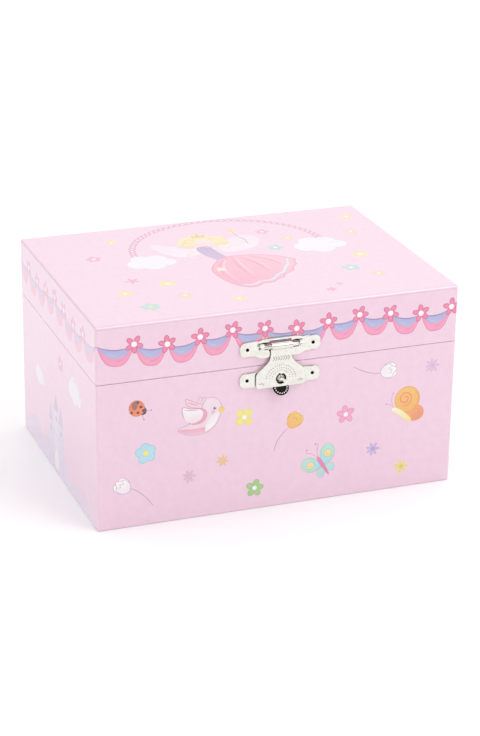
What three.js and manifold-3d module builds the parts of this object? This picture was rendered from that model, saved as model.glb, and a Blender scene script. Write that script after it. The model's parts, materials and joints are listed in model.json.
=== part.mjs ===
// Ballerina jewellery box: a paper-covered board box with a hinged lid, a front hasp, a mirror, lined
// compartments, and a spring-wound musical movement that turns a small dancer. Millimetres, +Z up. The
// front faces -Y, and the origin is at the centre of the underside. The lid is modelled closed, with the
// dancer bowed forward under it.
import * as THREE from "three";
import { mergeVertices } from "three/addons/utils/BufferGeometryUtils.js";
import Module from "manifold-3d";

// Driving dimensions of the box.
const WIDTH = 152;
const DEPTH = 110;
const HEIGHT = 86;
const SPLIT_Z = 62; // middle of the seam between the base and the lid
const SEAM = 0.5;
const PAPER = 0.4;
const BOARD = 2.6;
const GLUE = 0.05; // glue line between pieces that lie face to face
const CORNER_R = 1;

// Planes that follow from them. Each is a half size, measured from the centre of the box.
const PAPER_X = WIDTH / 2;
const PAPER_Y = DEPTH / 2;
const BOARD_X = PAPER_X - PAPER - GLUE;
const BOARD_Y = PAPER_Y - PAPER - GLUE;
const ROOM_X = BOARD_X - BOARD;
const ROOM_Y = BOARD_Y - BOARD;
const LINING = 0.4;
const LINED_X = ROOM_X - GLUE - LINING;
const LINED_Y = ROOM_Y - GLUE - LINING;
const FLOOR_BOARD = 3;
const BASE_TOP = SPLIT_Z - SEAM / 2;
const LID_BOTTOM = SPLIT_Z + SEAM / 2;
const WALL_TOP = BASE_TOP - PAPER - GLUE;
const LID_WALL_BOTTOM = LID_BOTTOM + PAPER + GLUE;
const LID_BOARD_TOP = HEIGHT - PAPER - GLUE;
const LID_BOARD_BOTTOM = LID_BOARD_TOP - BOARD;
const FIT = 0.1; // slack of a loose insert
const CLEAR = 1; // how far a cutting tool runs past what it cuts
const RUNNING = 0.08; // radial clearance of a pin in its bore
const FLOOR_Z = FLOOR_BOARD + 2 * GLUE + LINING;
const CEILING_Z = LID_BOARD_BOTTOM - GLUE - LINING;

// Compartments.
const DIVIDER = 2;
const LONG_DIVIDER_X = -10;
const LONG_DIVIDER_TOP = 50;
const DECK_BOTTOM = 41;
const DECK_TOP = 43.4;
const DECK_FRONT_Y = -1;
const RING_DIVIDER_X = 22;
const RING_BED_TOP = 30.4;
const RING_BED = 2.4;
const RING_ROLLS = 4;
const ROLL_R = 6.15;
const SPINDLE_HOLE_R = 2;

// Mirror.
const MIRROR_W = 98;
const MIRROR_D = 66;
const MIRROR_T = 1.6;
const MIRROR_TRIM = 2.6;
const MIRROR_TRIM_T = 2.2;

// Lid hinges.
const HINGE_X = 45;
const HINGE_Y = PAPER_Y + 2.1;
const HINGE_HALF = 12;
const KNUCKLE_R = 1.7;
const KNUCKLE_HALF = 4;
const HINGE_PIN_R = 0.8;
const LEAF_T = 0.8;
const LEAF_LENGTH = 12;
const LEAF_GAP = 2;
const HEEL = { halfX: 2.5, y: [1, 2.15], z: [-0.45, 0.45], tilt: -10 };

// Hasp on the front.
const HASP_X = -0.6;
const HASP_Z = 69.4;
const HASP_PIN_Z = 70.1;
const HASP_PIN_Y = -PAPER_Y - 1.7;
const HASP_PIN_R = 0.8;
const HASP_LOOP_R = 1.5;
const HASP_SHEET = 0.7;
const FLAP_SHEET = 0.6;
const FLAP_BACK_Y = -PAPER_Y - 1.2;
const FLAP_BOTTOM_Z = 52.7;
const BOSS_Z = 56.3;
const FLAP_NECK_HALF = 4.3;
const FLAP_HALF = 10.4;
const LIFT_TAB_R = 3.3;
const LIFT_TAB_DROP = 0.6;
const LIFT_TAB_BEND = 35;
const CATCH_Z = 56.4;
const NAIL_X = 13.8;
const NAIL_R = 0.45;
const NAIL_HOLE_R = 0.6;
const NAIL_HEAD_R = 0.8;
const NAIL_HEAD_T = 0.35;
const NAIL_DEPTH = 0.4; // how far a nail hole goes past the board into the room
const LOBE_HALF = 3.1;
const LOBE_R = 2.3;
const HASP_PLATE_HALF = 9.6;
const HASP_PLATE_Z = [65, 73.2];
const HASP_LOOP_X = [4.7, 8.5];
const HASP_WINDOW_HALF = 4.65;
const CATCH_PLATE_HALF = 9.8;
const CATCH_PLATE_Z = [52.6, 60.2];
const FLAP_WAIST_Z = 66.2;
const FLAP_SHOULDER_Z = 58.2;
const FLAP_CORNER_R = 1.4;
const BOSS_R = 2.1;
const BOSS_RISE = 0.5;
const DIMPLE_R = 1;

// Musical movement. Its three main axes meet at one point: the winding arbor along Y, the cylinder along
// X, the spindle along Z.
const MOVE_X = 32;
const MOVE_Y = 30.25;
const MOVE_Z = 20.5;
const BEDPLATE_FRONT = LINED_Y - FIT - 2;
const CROWN_TEETH = 32;
const CROWN_R = 9;
const PINION_TEETH = 8;
const PINION_R = (CROWN_R * PINION_TEETH) / CROWN_TEETH;
const CROWN_ADDENDUM = 0.6;
const PINION_TOOTH = [0.45, 0.75, 0.62]; // addendum, dedendum and width
const WHEEL_TOOTH = [0.3, 0.45, 0.42];
const WORM_WHEEL_TOOTH = [0.35, 0.5, 0.44];
const WINDING_ARBOR_R = 1.5;
const SPINDLE_R = 1.2;
const FINE_ARBOR_R = 0.6;
const BEDPLATE_T = 2;
const LEFT_LUG_X = [43.3, 44.5];
const RIGHT_LUG_X = [62.8, 64];
const LUG_HALF = 2.5;
const BARREL_R = 11;
const BARREL_LENGTH = 14;
const BARREL_WALL = 0.9;
const SPRING_TURNS = 5.5;
const CYLINDER_R = 6.5;
const CYLINDER_X = [45, 62];
const ARBOR_R = 0.9;
const COMB_X = [45.6, 61.4];
const COMB_HALF_T = 0.4;
const COMB_PITCH = 1;
const COMB_SLOT = 0.26;
const WHEEL_TEETH = 36;
const WHEEL_R = 6.3;
const GOVERNOR_TEETH = 9;
const GOVERNOR_R = (WHEEL_R * GOVERNOR_TEETH) / WHEEL_TEETH;
const GOVERNOR_Z = MOVE_Z + WHEEL_R + GOVERNOR_R + 0.12;
const WORM_WHEEL_TEETH = 20;
const WORM_WHEEL_R = 4;
const WORM_R = 1.45;
const WORM_X = 67.5;
const WORM_Y = MOVE_Y + WORM_WHEEL_R + WORM_R + 0.25;
const WORM_LEAD = (2 * Math.PI * WORM_WHEEL_R) / WORM_WHEEL_TEETH;
const WORM_TURNS = 3.6;
const THREAD_R = 0.27;
const FAN_R = 4.5;
const STOP_ROD_Y = WORM_Y + FAN_R + 1.3;
const STOP_ROD_R = 0.8;
const KEY_HUB_Y = PAPER_Y + 1;
const KEY_HUB_R = 3;
const KEY_HUB_LENGTH = 9.5;
const KEY_HOLE_R = 2.4;

// Dancer: she stands on a coil spring, and bows about the middle of it.
const BOW = 63;
const PIVOT_Z = 51;
const SPRING_HALF = 4;
const SPRING_R = 2.4;
const TURNTABLE_R = 9;
const TUTU_R = 13;
const TUTU_S = 24.5; // height of the tutu's waist along her own axis

const wasm = await Module();
wasm.setup();

const rad = THREE.MathUtils.degToRad;

// ---------------------------------------------------------------- materials

function material(color, roughness, metalness = 0) {
  return new THREE.MeshStandardMaterial({ color, roughness, metalness });
}

const printedPaper = material(0xefcfe0, 0.45);
const fibreBoard = material(0xb99a74, 0.85);
const flock = material(0xe79dbb, 0.95);
const rollFoam = material(0xf3c3d6, 0.95);
const mirrorGlass = material(0xdfe6ea, 0.05, 0.9);
const mirrorTrim = material(0xd9b56a, 0.35, 0.7);
const nickel = material(0xd9d7cf, 0.22, 1);
const steel = material(0xb8bcc0, 0.3, 1);
const brass = material(0xc9a14e, 0.3, 1);
const zinc = material(0x9fa3a6, 0.45, 1);
const nylon = material(0xf2efe6, 0.5);
const dollSkin = material(0xf3cdb4, 0.5);
const tulle = material(0xf6b3cc, 0.9);
const turntablePlastic = material(0xffffff, 0.35);

// ---------------------------------------------------------------- geometry helpers

// A box between two corners.
function boxBetween([x0, x1], [y0, y1], [z0, z1]) {
  const box = new THREE.BoxGeometry(x1 - x0, y1 - y0, z1 - z0);
  return box.translate((x0 + x1) / 2, (y0 + y1) / 2, (z0 + z1) / 2);
}

// Turns a geometry made along +Z so that it runs along the named axis.
function alongAxis(geometry, axis) {
  const turn = {
    x: new THREE.Matrix4().set(0, 0, 1, 0, 1, 0, 0, 0, 0, 1, 0, 0, 0, 0, 0, 1),
    y: new THREE.Matrix4().set(0, 1, 0, 0, 0, 0, 1, 0, 1, 0, 0, 0, 0, 0, 0, 1),
    z: new THREE.Matrix4(),
  };
  return geometry.applyMatrix4(turn[axis]);
}

// A round bar or cone along an axis, from one coordinate to another, about a centre line through the point
// at.
function bar(axis, radius, from, to, at, sides = 20, farRadius = radius) {
  const cylinder = new THREE.CylinderGeometry(farRadius, radius, to - from, sides);
  cylinder.rotateX(Math.PI / 2).translate(0, 0, (from + to) / 2);
  return alongAxis(cylinder, axis).translate(at.x ?? 0, at.y ?? 0, at.z ?? 0);
}

// A bar with a taper between any two points.
function limb(start, end, startRadius, endRadius, sides = 7) {
  const line = new THREE.Vector3().subVectors(end, start);
  const cone = new THREE.CylinderGeometry(endRadius, startRadius, line.length(), sides);
  const turn = new THREE.Quaternion().setFromUnitVectors(new THREE.Vector3(0, 1, 0), line.clone().normalize());
  const middle = new THREE.Vector3().addVectors(start, end).multiplyScalar(0.5);
  return cone.applyQuaternion(turn).translate(middle.x, middle.y, middle.z);
}

// A flat shape given thickness along +Z, then laid along an axis.
function slab(shape, from, to, axis = "z", curveSegments = 6) {
  const settings = { depth: to - from, bevelEnabled: false, curveSegments };
  const extruded = new THREE.ExtrudeGeometry(shape, settings).translate(0, 0, from);
  return alongAxis(extruded, axis);
}

// A shape drawn as seen from the front, X to the right and Z up, with its back face at y and its thickness
// towards -Y.
function frontPlate(shape, backY, thickness, curveSegments = 6) {
  const settings = { depth: thickness, bevelEnabled: false, curveSegments };
  return new THREE.ExtrudeGeometry(shape, settings).rotateX(Math.PI / 2).translate(0, backY, 0);
}

function roundedRectangle(halfWidth, halfHeight, radius) {
  const shape = new THREE.Shape();
  shape.absarc(halfWidth - radius, halfHeight - radius, radius, 0, Math.PI / 2);
  shape.absarc(radius - halfWidth, halfHeight - radius, radius, Math.PI / 2, Math.PI);
  shape.absarc(radius - halfWidth, radius - halfHeight, radius, Math.PI, Math.PI * 1.5);
  shape.absarc(halfWidth - radius, radius - halfHeight, radius, Math.PI * 1.5, Math.PI * 2);
  return shape;
}

// A toothed outline with straight-sided teeth. A tooth points along the shape's first axis unless it is
// turned.
function gearShape(teeth, pitchR, [addendum, dedendum, toothWidth], turn = 0) {
  const shape = new THREE.Shape();
  const half = toothWidth / 2 / pitchR;
  for (let tooth = 0; tooth < teeth; tooth++) {
    const middle = turn + (tooth / teeth) * Math.PI * 2;
    const corners = [
      [pitchR - dedendum, middle - half * 1.5],
      [pitchR + addendum, middle - half * 0.55],
      [pitchR + addendum, middle + half * 0.55],
      [pitchR - dedendum, middle + half * 1.5],
    ];
    corners.forEach(([radius, angle], corner) => {
      const x = radius * Math.cos(angle);
      const y = radius * Math.sin(angle);
      if (tooth === 0 && corner === 0) shape.moveTo(x, y);
      else shape.lineTo(x, y);
    });
  }
  shape.closePath();
  return shape;
}

// A three.js geometry as a solid that can be joined and cut.
function solid(geometry) {
  const bare = geometry.clone();
  for (const name of ["normal", "uv", "uv1", "uv2"]) bare.deleteAttribute(name);
  const merged = mergeVertices(bare, 1e-4);
  const vertProperties = new Float32Array(merged.attributes.position.array);
  const triVerts = new Uint32Array(merged.index.array);
  return new wasm.Manifold(new wasm.Mesh({ numProp: 3, vertProperties, triVerts }));
}

function joined(...geometries) {
  return geometries.map(solid).reduce((whole, piece) => whole.add(piece));
}

function cut(body, ...tools) {
  const whole = body instanceof THREE.BufferGeometry ? solid(body) : body;
  return tools.map(solid).reduce((rest, tool) => rest.subtract(tool), whole);
}

function geometryOf(body) {
  const made = body.getMesh();
  const positions = new Float32Array(made.numVert * 3);
  for (let i = 0; i < made.numVert; i++) {
    positions.set(made.vertProperties.subarray(i * made.numProp, i * made.numProp + 3), i * 3);
  }
  const geometry = new THREE.BufferGeometry();
  geometry.setAttribute("position", new THREE.BufferAttribute(positions, 3));
  geometry.setIndex(new THREE.BufferAttribute(made.triVerts, 1));
  geometry.computeVertexNormals();
  return geometry;
}

const box = new THREE.Group();

// Adds a named piece to a group. The body is a geometry or a joined solid.
function piece(name, body, look, group = box) {
  const geometry = body instanceof THREE.BufferGeometry ? body : geometryOf(body);
  const mesh = new THREE.Mesh(geometry, look);
  mesh.name = name;
  group.add(mesh);
  return mesh;
}

// ---------------------------------------------------------------- carcass and covers

const keyHole = bar("y", KEY_HOLE_R, LINED_Y - CLEAR, PAPER_Y + CLEAR, { x: MOVE_X, z: MOVE_Z }, 16);

function nailHoles(z, depth) {
  return [-1, 1].map((side) => {
    const at = { x: HASP_X + side * NAIL_X, z };
    return bar("y", NAIL_HOLE_R, -PAPER_Y - CLEAR, depth, at, 10);
  });
}

const nailDepth = -ROOM_Y - NAIL_DEPTH;
const catchHoles = nailHoles(CATCH_Z, nailDepth);
const haspHoles = nailHoles(HASP_Z, nailDepth);

function carcass() {
  const walls = [FLOOR_BOARD + GLUE, WALL_TOP];
  const endY = [-ROOM_Y + GLUE, ROOM_Y - GLUE];
  piece("bottom_board", boxBetween([-BOARD_X, BOARD_X], [-BOARD_Y, BOARD_Y], [0, FLOOR_BOARD]), fibreBoard);
  const front = boxBetween([-BOARD_X, BOARD_X], [-BOARD_Y, -ROOM_Y], walls);
  piece("front_board", cut(front, ...catchHoles), fibreBoard);
  piece("back_board", cut(boxBetween([-BOARD_X, BOARD_X], [ROOM_Y, BOARD_Y], walls), keyHole), fibreBoard);
  piece("left_board", boxBetween([-BOARD_X, -ROOM_X], endY, walls), fibreBoard);
  piece("right_board", boxBetween([ROOM_X, BOARD_X], endY, walls), fibreBoard);
}

function lidCarcass() {
  const walls = [LID_WALL_BOTTOM, LID_BOARD_BOTTOM - GLUE];
  const endY = [-ROOM_Y + GLUE, ROOM_Y - GLUE];
  const top = boxBetween([-BOARD_X, BOARD_X], [-BOARD_Y, BOARD_Y], [LID_BOARD_BOTTOM, LID_BOARD_TOP]);
  piece("lid_top_board", top, fibreBoard);
  const front = boxBetween([-BOARD_X, BOARD_X], [-BOARD_Y, -ROOM_Y], walls);
  piece("lid_front_board", cut(front, ...haspHoles), fibreBoard);
  piece("lid_back_board", boxBetween([-BOARD_X, BOARD_X], [ROOM_Y, BOARD_Y], walls), fibreBoard);
  piece("lid_left_board", boxBetween([-BOARD_X, -ROOM_X], endY, walls), fibreBoard);
  piece("lid_right_board", boxBetween([ROOM_X, BOARD_X], endY, walls), fibreBoard);
}

// The paper covers a carcass outside and folds over the rims of its walls.
function covers() {
  const outline = roundedRectangle(PAPER_X, PAPER_Y, CORNER_R);
  const inside = ([from, to]) => boxBetween(
    [-PAPER_X + PAPER, PAPER_X - PAPER], [-PAPER_Y + PAPER, PAPER_Y - PAPER], [from, to]);
  const mouth = ([from, to]) => boxBetween([-ROOM_X, ROOM_X], [-ROOM_Y, ROOM_Y], [from, to]);
  const baseSleeve = slab(outline, 0.1, BASE_TOP);
  const baseInside = inside([-CLEAR, BASE_TOP - PAPER]);
  const base = cut(baseSleeve, baseInside, mouth([BASE_TOP - CLEAR, BASE_TOP + CLEAR]));
  piece("base_paper", cut(base, keyHole, ...catchHoles), printedPaper);
  const lidBox = slab(outline, LID_BOTTOM, HEIGHT);
  const lidInside = inside([LID_BOTTOM + PAPER, HEIGHT - PAPER]);
  const lid = cut(lidBox, lidInside, mouth([LID_BOTTOM - CLEAR, LID_BOTTOM + CLEAR]));
  piece("lid_paper", cut(lid, ...haspHoles), printedPaper);
}

// Flocked linings: an open tray in the base and an inverted one in the lid.
function linings() {
  const outerX = [-ROOM_X + GLUE, ROOM_X - GLUE];
  const outerY = [-ROOM_Y + GLUE, ROOM_Y - GLUE];
  const innerX = [-LINED_X, LINED_X];
  const innerY = [-LINED_Y, LINED_Y];
  const tray = boxBetween(outerX, outerY, [FLOOR_BOARD + GLUE, WALL_TOP]);
  const trayRoom = boxBetween(innerX, innerY, [FLOOR_BOARD + GLUE + LINING, WALL_TOP + CLEAR]);
  piece("base_lining", cut(tray, trayRoom, keyHole), flock);
  const cap = boxBetween(outerX, outerY, [LID_WALL_BOTTOM, LID_BOARD_BOTTOM - GLUE]);
  const capRoom = boxBetween(innerX, innerY, [LID_WALL_BOTTOM - CLEAR, CEILING_Z]);
  piece("lid_lining", cut(cap, capRoom), flock);
}

function mirror() {
  const back = CEILING_Z - GLUE;
  const half = [MIRROR_W / 2, MIRROR_D / 2];
  const glass = boxBetween([-half[0], half[0]], [-half[1], half[1]], [back - MIRROR_T, back]);
  piece("mirror", glass, mirrorGlass);
  const trim = roundedRectangle(half[0] + MIRROR_TRIM, half[1] + MIRROR_TRIM, MIRROR_TRIM);
  const open = half.map((reach) => [-reach - GLUE, reach + GLUE]);
  const window = boxBetween(...open, [back - MIRROR_TRIM_T - CLEAR, back + CLEAR]);
  piece("mirror_trim", cut(slab(trim, back - MIRROR_TRIM_T, back), window), mirrorTrim);
}

// ---------------------------------------------------------------- compartments

function compartments() {
  const half = DIVIDER / 2;
  const reachX = LINED_X - FIT;
  const reachY = LINED_Y - FIT;
  const rightOfLong = LONG_DIVIDER_X + half + GLUE;
  const frontRoom = [-reachY, DECK_FRONT_Y - GLUE];
  piece("long_divider", boxBetween(
    [LONG_DIVIDER_X - half, LONG_DIVIDER_X + half], [-reachY, reachY], [FLOOR_Z, LONG_DIVIDER_TOP]), flock);
  piece("cross_divider", boxBetween(
    [rightOfLong, reachX], [DECK_FRONT_Y, DECK_FRONT_Y + DIVIDER], [FLOOR_Z, DECK_BOTTOM - GLUE]), flock);
  piece("ring_divider", boxBetween(
    [RING_DIVIDER_X - half, RING_DIVIDER_X + half], frontRoom, [FLOOR_Z, DECK_TOP]), flock);
  const ringsFrom = RING_DIVIDER_X + half + GLUE;
  piece("ring_bed", boxBetween([ringsFrom, reachX], frontRoom, [RING_BED_TOP - RING_BED, RING_BED_TOP]), flock);
  const pitch = (frontRoom[1] - frontRoom[0]) / RING_ROLLS;
  for (let roll = 0; roll < RING_ROLLS; roll++) {
    const at = { y: frontRoom[0] + pitch * (roll + 0.5), z: RING_BED_TOP + GLUE + ROLL_R };
    piece(`ring_roll_${roll + 1}`, bar("x", ROLL_R, ringsFrom + FIT, reachX - FIT, at, 16), rollFoam);
  }
  const deck = boxBetween([rightOfLong, reachX], [DECK_FRONT_Y, reachY], [DECK_BOTTOM, DECK_TOP]);
  const spindleHole = bar("z", SPINDLE_HOLE_R, DECK_BOTTOM - CLEAR, DECK_TOP + CLEAR, { x: MOVE_X, y: MOVE_Y }, 16);
  const rodHole = bar("z", STOP_ROD_R + 0.4, DECK_BOTTOM - CLEAR, DECK_TOP + CLEAR, { x: WORM_X, y: STOP_ROD_Y }, 12);
  piece("dancer_deck", cut(deck, spindleHole, rodHole), flock);
}

// ---------------------------------------------------------------- hinges and hasp

// One leaf of a lid hinge: up is 1 for the lid's leaf and -1 for the base's. The lid's leaf has the middle
// knuckle and the heel that meets the base's leaf when the lid is fully open.
function hingeLeaf(centreX, up) {
  const faceY = PAPER_Y + GLUE;
  const from = SPLIT_Z + up * LEAF_GAP;
  const to = SPLIT_Z + up * LEAF_LENGTH;
  const plate = boxBetween(
    [centreX - HINGE_HALF, centreX + HINGE_HALF], [faceY, faceY + LEAF_T], [Math.min(from, to), Math.max(from, to)]);
  const middle = [[-KNUCKLE_HALF + FIT, KNUCKLE_HALF - FIT]];
  const outer = [[-HINGE_HALF, -KNUCKLE_HALF - FIT], [KNUCKLE_HALF + FIT, HINGE_HALF]];
  const knuckles = up > 0 ? middle : outer;
  const bridge = [Math.min(SPLIT_Z, from), Math.max(SPLIT_Z, from)];
  const axis = { y: HINGE_Y, z: SPLIT_Z };
  const parts = knuckles.flatMap(([a, b]) => [
    bar("x", KNUCKLE_R, centreX + a, centreX + b, axis, 16),
    boxBetween([centreX + a, centreX + b], [faceY, faceY + LEAF_T], bridge),
  ]);
  if (up > 0) {
    const heel = boxBetween([-HEEL.halfX, HEEL.halfX], HEEL.y, HEEL.z).rotateX(rad(HEEL.tilt));
    parts.push(heel.translate(centreX, HINGE_Y, SPLIT_Z));
  }
  const bore = bar("x", HINGE_PIN_R + RUNNING, centreX - HINGE_HALF - CLEAR, centreX + HINGE_HALF + CLEAR, axis, 16);
  return cut(joined(plate, ...parts), bore);
}

function hinges() {
  for (const [side, centreX] of [["left", -HINGE_X], ["right", HINGE_X]]) {
    piece(`hinge_${side}_base_leaf`, hingeLeaf(centreX, -1), nickel);
    piece(`hinge_${side}_lid_leaf`, hingeLeaf(centreX, 1), nickel);
    const reach = HINGE_HALF + 0.3;
    const axis = { y: HINGE_Y, z: SPLIT_Z };
    piece(`hinge_${side}_pin`, bar("x", HINGE_PIN_R, centreX - reach, centreX + reach, axis, 14), nickel);
  }
}

// A closed outline from its right half, which is drawn about the second axis and stops short of it at both
// ends.
function mirrored(half, centreX = 0, divisions = 6) {
  const right = half.getPoints(divisions);
  const left = right.map((point) => new THREE.Vector2(-point.x, point.y)).reverse();
  return new THREE.Shape([...right, ...left].map((point) => new THREE.Vector2(centreX + point.x, point.y)));
}

// The outline that both fixed plates share: a body with a lobe at each end for a nail.
function plateOutline(z, bodyHalf, [bodyBottom, bodyTop]) {
  const half = new THREE.Path();
  half.moveTo(bodyHalf - 2, bodyTop);
  half.quadraticCurveTo(bodyHalf, bodyTop, bodyHalf + 0.4, z + LOBE_HALF);
  const cornerX = NAIL_X + LOBE_HALF - LOBE_R;
  const cornerZ = LOBE_HALF - LOBE_R;
  half.absarc(cornerX, z + cornerZ, LOBE_R, Math.PI / 2, 0, true);
  half.absarc(cornerX, z - cornerZ, LOBE_R, 0, -Math.PI / 2, true);
  half.lineTo(bodyHalf + 0.4, z - LOBE_HALF);
  half.quadraticCurveTo(bodyHalf, bodyBottom, bodyHalf - 2, bodyBottom);
  return mirrored(half, HASP_X);
}

const haspAxis = { y: HASP_PIN_Y, z: HASP_PIN_Z };
const plateBack = -PAPER_Y - GLUE;

// The upper plate has two loops for the pin, with a window between them where the flap's curl turns.
function haspPlate() {
  const sheet = frontPlate(plateOutline(HASP_Z, HASP_PLATE_HALF, HASP_PLATE_Z), plateBack, HASP_SHEET);
  const loops = [-1, 1].map((side) => {
    const ends = HASP_LOOP_X.map((x) => HASP_X + side * x).sort((a, b) => a - b);
    return bar("x", HASP_LOOP_R, ends[0], ends[1], haspAxis, 16);
  });
  const window = boxBetween(
    [HASP_X - HASP_WINDOW_HALF, HASP_X + HASP_WINDOW_HALF], [-PAPER_Y - 3.5, -PAPER_Y + CLEAR],
    [HASP_PIN_Z - 2, HASP_PIN_Z + 2]);
  const bore = bar("x", HASP_PIN_R + RUNNING, HASP_X - HASP_PLATE_HALF, HASP_X + HASP_PLATE_HALF, haspAxis, 16);
  piece("hasp_plate", cut(joined(sheet, ...loops), window, bore, ...haspHoles), nickel);
  const pinHalf = HASP_LOOP_X[1] - FIT;
  piece("hasp_pin", bar("x", HASP_PIN_R, HASP_X - pinHalf, HASP_X + pinHalf, haspAxis, 14), nickel);
}

// The flap hangs from a curl round the pin, flares out over the catch plate and ends in a round lift tab
// bent outwards.
function haspFlap() {
  const half = new THREE.Path();
  half.moveTo(FLAP_NECK_HALF, HASP_PIN_Z);
  half.lineTo(FLAP_NECK_HALF, FLAP_WAIST_Z);
  half.bezierCurveTo(4.6, 63.4, 8.4, 61.6, FLAP_HALF, FLAP_SHOULDER_Z);
  half.absarc(FLAP_HALF - FLAP_CORNER_R, FLAP_BOTTOM_Z + FLAP_CORNER_R, FLAP_CORNER_R, 0, -Math.PI / 2, true);
  const sheet = frontPlate(mirrored(half, HASP_X, 8), FLAP_BACK_Y, FLAP_SHEET);
  const curl = bar("x", HASP_LOOP_R, HASP_X - FLAP_NECK_HALF, HASP_X + FLAP_NECK_HALF, haspAxis, 16);
  const bossFront = FLAP_BACK_Y - FLAP_SHEET - BOSS_RISE;
  const boss = bar("y", BOSS_R, bossFront, FLAP_BACK_Y - 0.2, { x: HASP_X, z: BOSS_Z }, 20);
  const tabShape = new THREE.Shape();
  tabShape.moveTo(-LIFT_TAB_R, 0.2);
  tabShape.absarc(0, -LIFT_TAB_DROP, LIFT_TAB_R, Math.PI, Math.PI * 2);
  tabShape.lineTo(LIFT_TAB_R, 0.2);
  tabShape.closePath();
  const tab = frontPlate(tabShape, 0, FLAP_SHEET, 12).rotateX(rad(-LIFT_TAB_BEND));
  tab.translate(HASP_X, FLAP_BACK_Y, FLAP_BOTTOM_Z + 0.1);
  const dimple = bar("y", DIMPLE_R, bossFront - CLEAR, FLAP_BACK_Y - FLAP_SHEET, { x: HASP_X, z: BOSS_Z }, 14);
  const bore = bar("x", HASP_PIN_R + RUNNING, HASP_X - 6, HASP_X + 6, haspAxis, 16);
  piece("hasp_flap", cut(joined(sheet, curl, boss, tab), dimple, bore), nickel);
}

function catchPlate() {
  const sheet = frontPlate(plateOutline(CATCH_Z, CATCH_PLATE_HALF, CATCH_PLATE_Z), plateBack, HASP_SHEET);
  const domeFrom = plateBack - HASP_SHEET - 0.35;
  const dome = bar("y", 0.8, domeFrom, plateBack - 0.2, { x: HASP_X, z: BOSS_Z }, 14, 1.3);
  piece("catch_plate", cut(joined(sheet, dome), ...catchHoles), nickel);
}

function nails() {
  for (const [plate, z] of [["hasp", HASP_Z], ["catch", CATCH_Z]]) {
    for (const [side, offset] of [["left", -NAIL_X], ["right", NAIL_X]]) {
      const at = { x: HASP_X + offset, z };
      const headBack = plateBack - HASP_SHEET - GLUE;
      const shank = bar("y", NAIL_R, headBack - 0.2, nailDepth - 0.2, at, 8);
      const head = bar("y", NAIL_HEAD_R * 0.6, headBack - NAIL_HEAD_T, headBack, at, 12, NAIL_HEAD_R);
      piece(`${plate}_nail_${side}`, joined(shank, head), nickel);
    }
  }
}

// ---------------------------------------------------------------- musical movement

// The bedplate is screwed to the back wall. Its lugs carry the spindle, both ends of the cylinder and the
// comb.
function bedplate() {
  const front = BEDPLATE_FRONT;
  const plate = boxBetween([MOVE_X - 12.5, MOVE_X + 39.5], [front, front + BEDPLATE_T], [4, 39]);
  const spindleLug = boxBetween([MOVE_X - 4, MOVE_X + 4], [MOVE_Y - 3, front + 1], [34.8, 36.4]);
  const lugY = [MOVE_Y - LUG_HALF, front + 1];
  const leftLug = boxBetween(LEFT_LUG_X, lugY, [MOVE_Z - LUG_HALF, MOVE_Z + LUG_HALF]);
  const rightLug = boxBetween(RIGHT_LUG_X, lugY, [MOVE_Z - LUG_HALF, GOVERNOR_Z + 2]);
  const combRest = boxBetween(CYLINDER_X, [MOVE_Y + COMB_HALF_T + GLUE, front + 1], [4.2, 8.2]);
  const body = joined(plate, spindleLug, leftLug, rightLug, combRest);
  const holes = [
    bar("y", WINDING_ARBOR_R + RUNNING, front - CLEAR, front + BEDPLATE_T + CLEAR, { x: MOVE_X, z: MOVE_Z }, 16),
    bar("z", SPINDLE_R + RUNNING, 33, 38, { x: MOVE_X, y: MOVE_Y }, 14),
    bar("x", ARBOR_R + RUNNING, 42, 65, { y: MOVE_Y, z: MOVE_Z }, 14),
    bar("x", FINE_ARBOR_R + RUNNING, 62, 65, { y: MOVE_Y, z: GOVERNOR_Z }, 12),
  ];
  piece("movement_bedplate", cut(body, ...holes), zinc);
}

// The barrel houses the mainspring, which winds from the arbor out to the barrel's wall.
function springBarrel() {
  const barrelY = [BEDPLATE_FRONT - GLUE - BARREL_LENGTH, BEDPLATE_FRONT - GLUE];
  const at = { x: MOVE_X, z: MOVE_Z };
  const cup = bar("y", BARREL_R, barrelY[0], barrelY[1], at, 32);
  const room = bar("y", BARREL_R - BARREL_WALL, barrelY[0] + BARREL_WALL, barrelY[1] + CLEAR, at, 32);
  const hole = bar("y", WINDING_ARBOR_R + 0.25, barrelY[0] - CLEAR, barrelY[1], at, 16);
  piece("spring_barrel", cut(cup, room, hole), zinc);
  const steps = SPRING_TURNS * 14;
  const spiral = (radiusAt) => Array.from({ length: steps + 1 }, (_, step) => {
    const angle = (step / steps) * SPRING_TURNS * Math.PI * 2;
    const radius = radiusAt(step / steps);
    return new THREE.Vector2(radius * Math.sin(angle), radius * Math.cos(angle));
  });
  const inner = spiral((share) => 2.4 + share * 6.6);
  const outer = spiral((share) => 2.8 + share * 6.6);
  const strip = new THREE.Shape([...inner, ...outer.reverse()]);
  const spring = slab(strip, barrelY[0] + 2, barrelY[1] - 1, "y").translate(MOVE_X, 0, MOVE_Z);
  piece("mainspring", spring, steel);
}

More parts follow.
